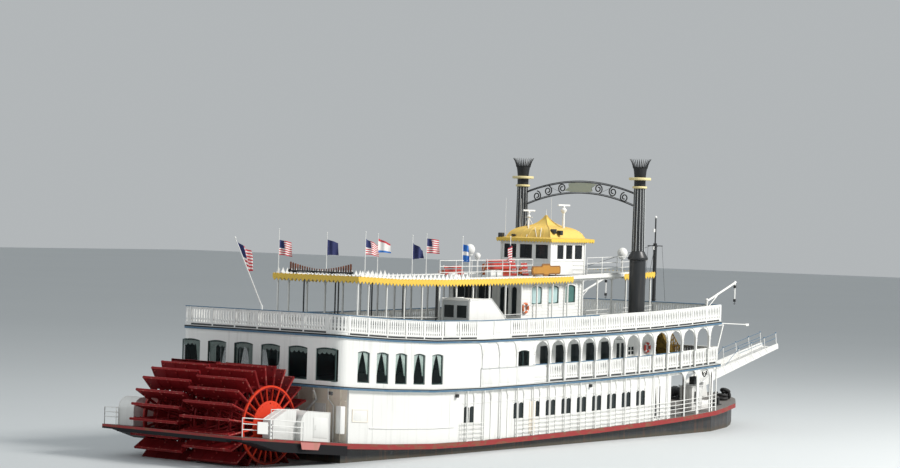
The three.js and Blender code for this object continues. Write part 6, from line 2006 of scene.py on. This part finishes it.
# %% Davit tackle
DAVIT = {"x": 41.6, "y": 5.3, "base": 8.75, "reach": 3.6, "rise": 1.2}
for side, hand in SIDE_NAME.items():
    y, tip = side * DAVIT["y"], DAVIT["x"] + DAVIT["reach"] - 0.1
    gear = [rod((DAVIT["x"], y, 8.15), (DAVIT["x"] + 1.5, y, DAVIT["base"] + 0.46), 0.035, 8),
            ball((DAVIT["x"], y, DAVIT["base"] + 0.02), 0.11),
            rod((DAVIT["x"], y, 8.05), (DAVIT["x"], y, 8.2), 0.12, 16), ball((tip, y, 9.96), 0.08)]
    finish(gear, f"davit_brace_{hand}", *IN_WHITE, body=f"davit_{hand}", lifted=False, smooth=50)
    hook = [(tip + 0.07 * math.sin(t), y, 8.52 - 0.07 * math.cos(t))
            for t in [k * math.pi / 8 - 0.3 for k in range(-4, 10)]]
    tackle = [bevelled(box((tip - 0.07, tip + 0.07), (y - 0.08, y + 0.08), (z, z + 0.2)), 0.03)
              for z in (9.55, 8.62)]
    tackle += [pipe([hook], 0.02)]
    finish(tackle, f"davit_tackle_{hand}", *IN_BLACK, body=f"davit_{hand}", lifted=False)
    foot_at = THIRD + sheer(41.69) + 0.002
    finish(
        turned([(0.12, foot_at), (0.2, foot_at), (0.2, foot_at + 0.04), (0.15, foot_at + 0.12),
                (0.12, foot_at + 0.12)], DAVIT["x"], y, 24), f"davit_foot_{hand}", *IN_WHITE, lifted=False)

# %% Mast fittings and stays
MAST_X = 43.2
mast_gear = [ring((MAST_X, 0, z), 0.13, 0.035, "Z", 24, 8) for z in (8.6, 10.4, 12.2)]
mast_gear += [pipe([[(MAST_X, y, 12.26), (MAST_X + 0.1, y * 1.5, 8.5)] for y in (-0.57, 0.57)], 0.01)]
finish(mast_gear, "mast_bands", *IN_BLACK, lifted=False, smooth=50)
lamps = [rod((MAST_X - 0.2, 0, z), (MAST_X - 0.2, 0, z + 0.22), 0.09, 12) for z in (12.0, 13.2)]
lamps += [ball((MAST_X, 0, 14.22), 0.09), rod((MAST_X, 0, 12.05), (MAST_X - 0.22, 0, 12.05), 0.02),
          rod((MAST_X, 0, 13.25), (MAST_X - 0.22, 0, 13.25), 0.02)]
finish(lamps, "mast_lamps", *IN_WHITE, lifted=False, smooth=50)
stays = [[(MAST_X, 0, 12.35), (38.25, y, ROOF + sheer(38.25) + 0.02)] for y in (-2.9, 2.9)]
finish(pipe(stays, 0.016), "stays", *IN_BLACK, lifted=False)
print("stage, davits and mast")

# %% Lamp booms and corner struts at the fore end, and floodlamps along the sides
boom = [rod((42.15, -5.9, THIRD - 0.14), (45.78, -5.9, 5.6), 0.03, 8),
        bevelled(box((45.6, 45.95), (-5.98, -5.82), (5.5, 5.66)), 0.02),
        rod((42.85, -5.85, THIRD_UNDER - 0.1), (42.2, -5.85, SECOND + 0.95), 0.05, 10),
        rod((42.2, -5.85, THIRD_UNDER - 0.1), (42.9, -5.85, THIRD_UNDER - 0.1), 0.03, 8)]
pair(boom, "lamp_boom", *IN_WHITE, smooth=50)
floods = []
for x, y, z in ((13.75, -6.0, 2.81), (2.55, -5.9, SECOND_UNDER - 0.25), (27.3, -6.0, 2.81)):
    floods += [bevelled(box((x - 0.11, x + 0.11), (y - 0.07, y + 0.07), (z - 0.1, z + 0.1)), 0.02)]
pair(floods, "floodlamps", *IN_BLACK)

# %% [markdown]
# ## The floor
# The floor gets its finish, and the number of pieces made is printed.

# %% Floor finish and the end
floor_paint = Paint("floor_paint")
floor_cloud = floor_paint.noise(0.05, 3)
floor.data.materials.append(floor_paint.set(
    Base_Color=floor_paint.mix(floor_cloud, (0.56, 0.59, 0.60), (0.60, 0.63, 0.64)), Roughness=0.6))
print(len(made), "pieces made")
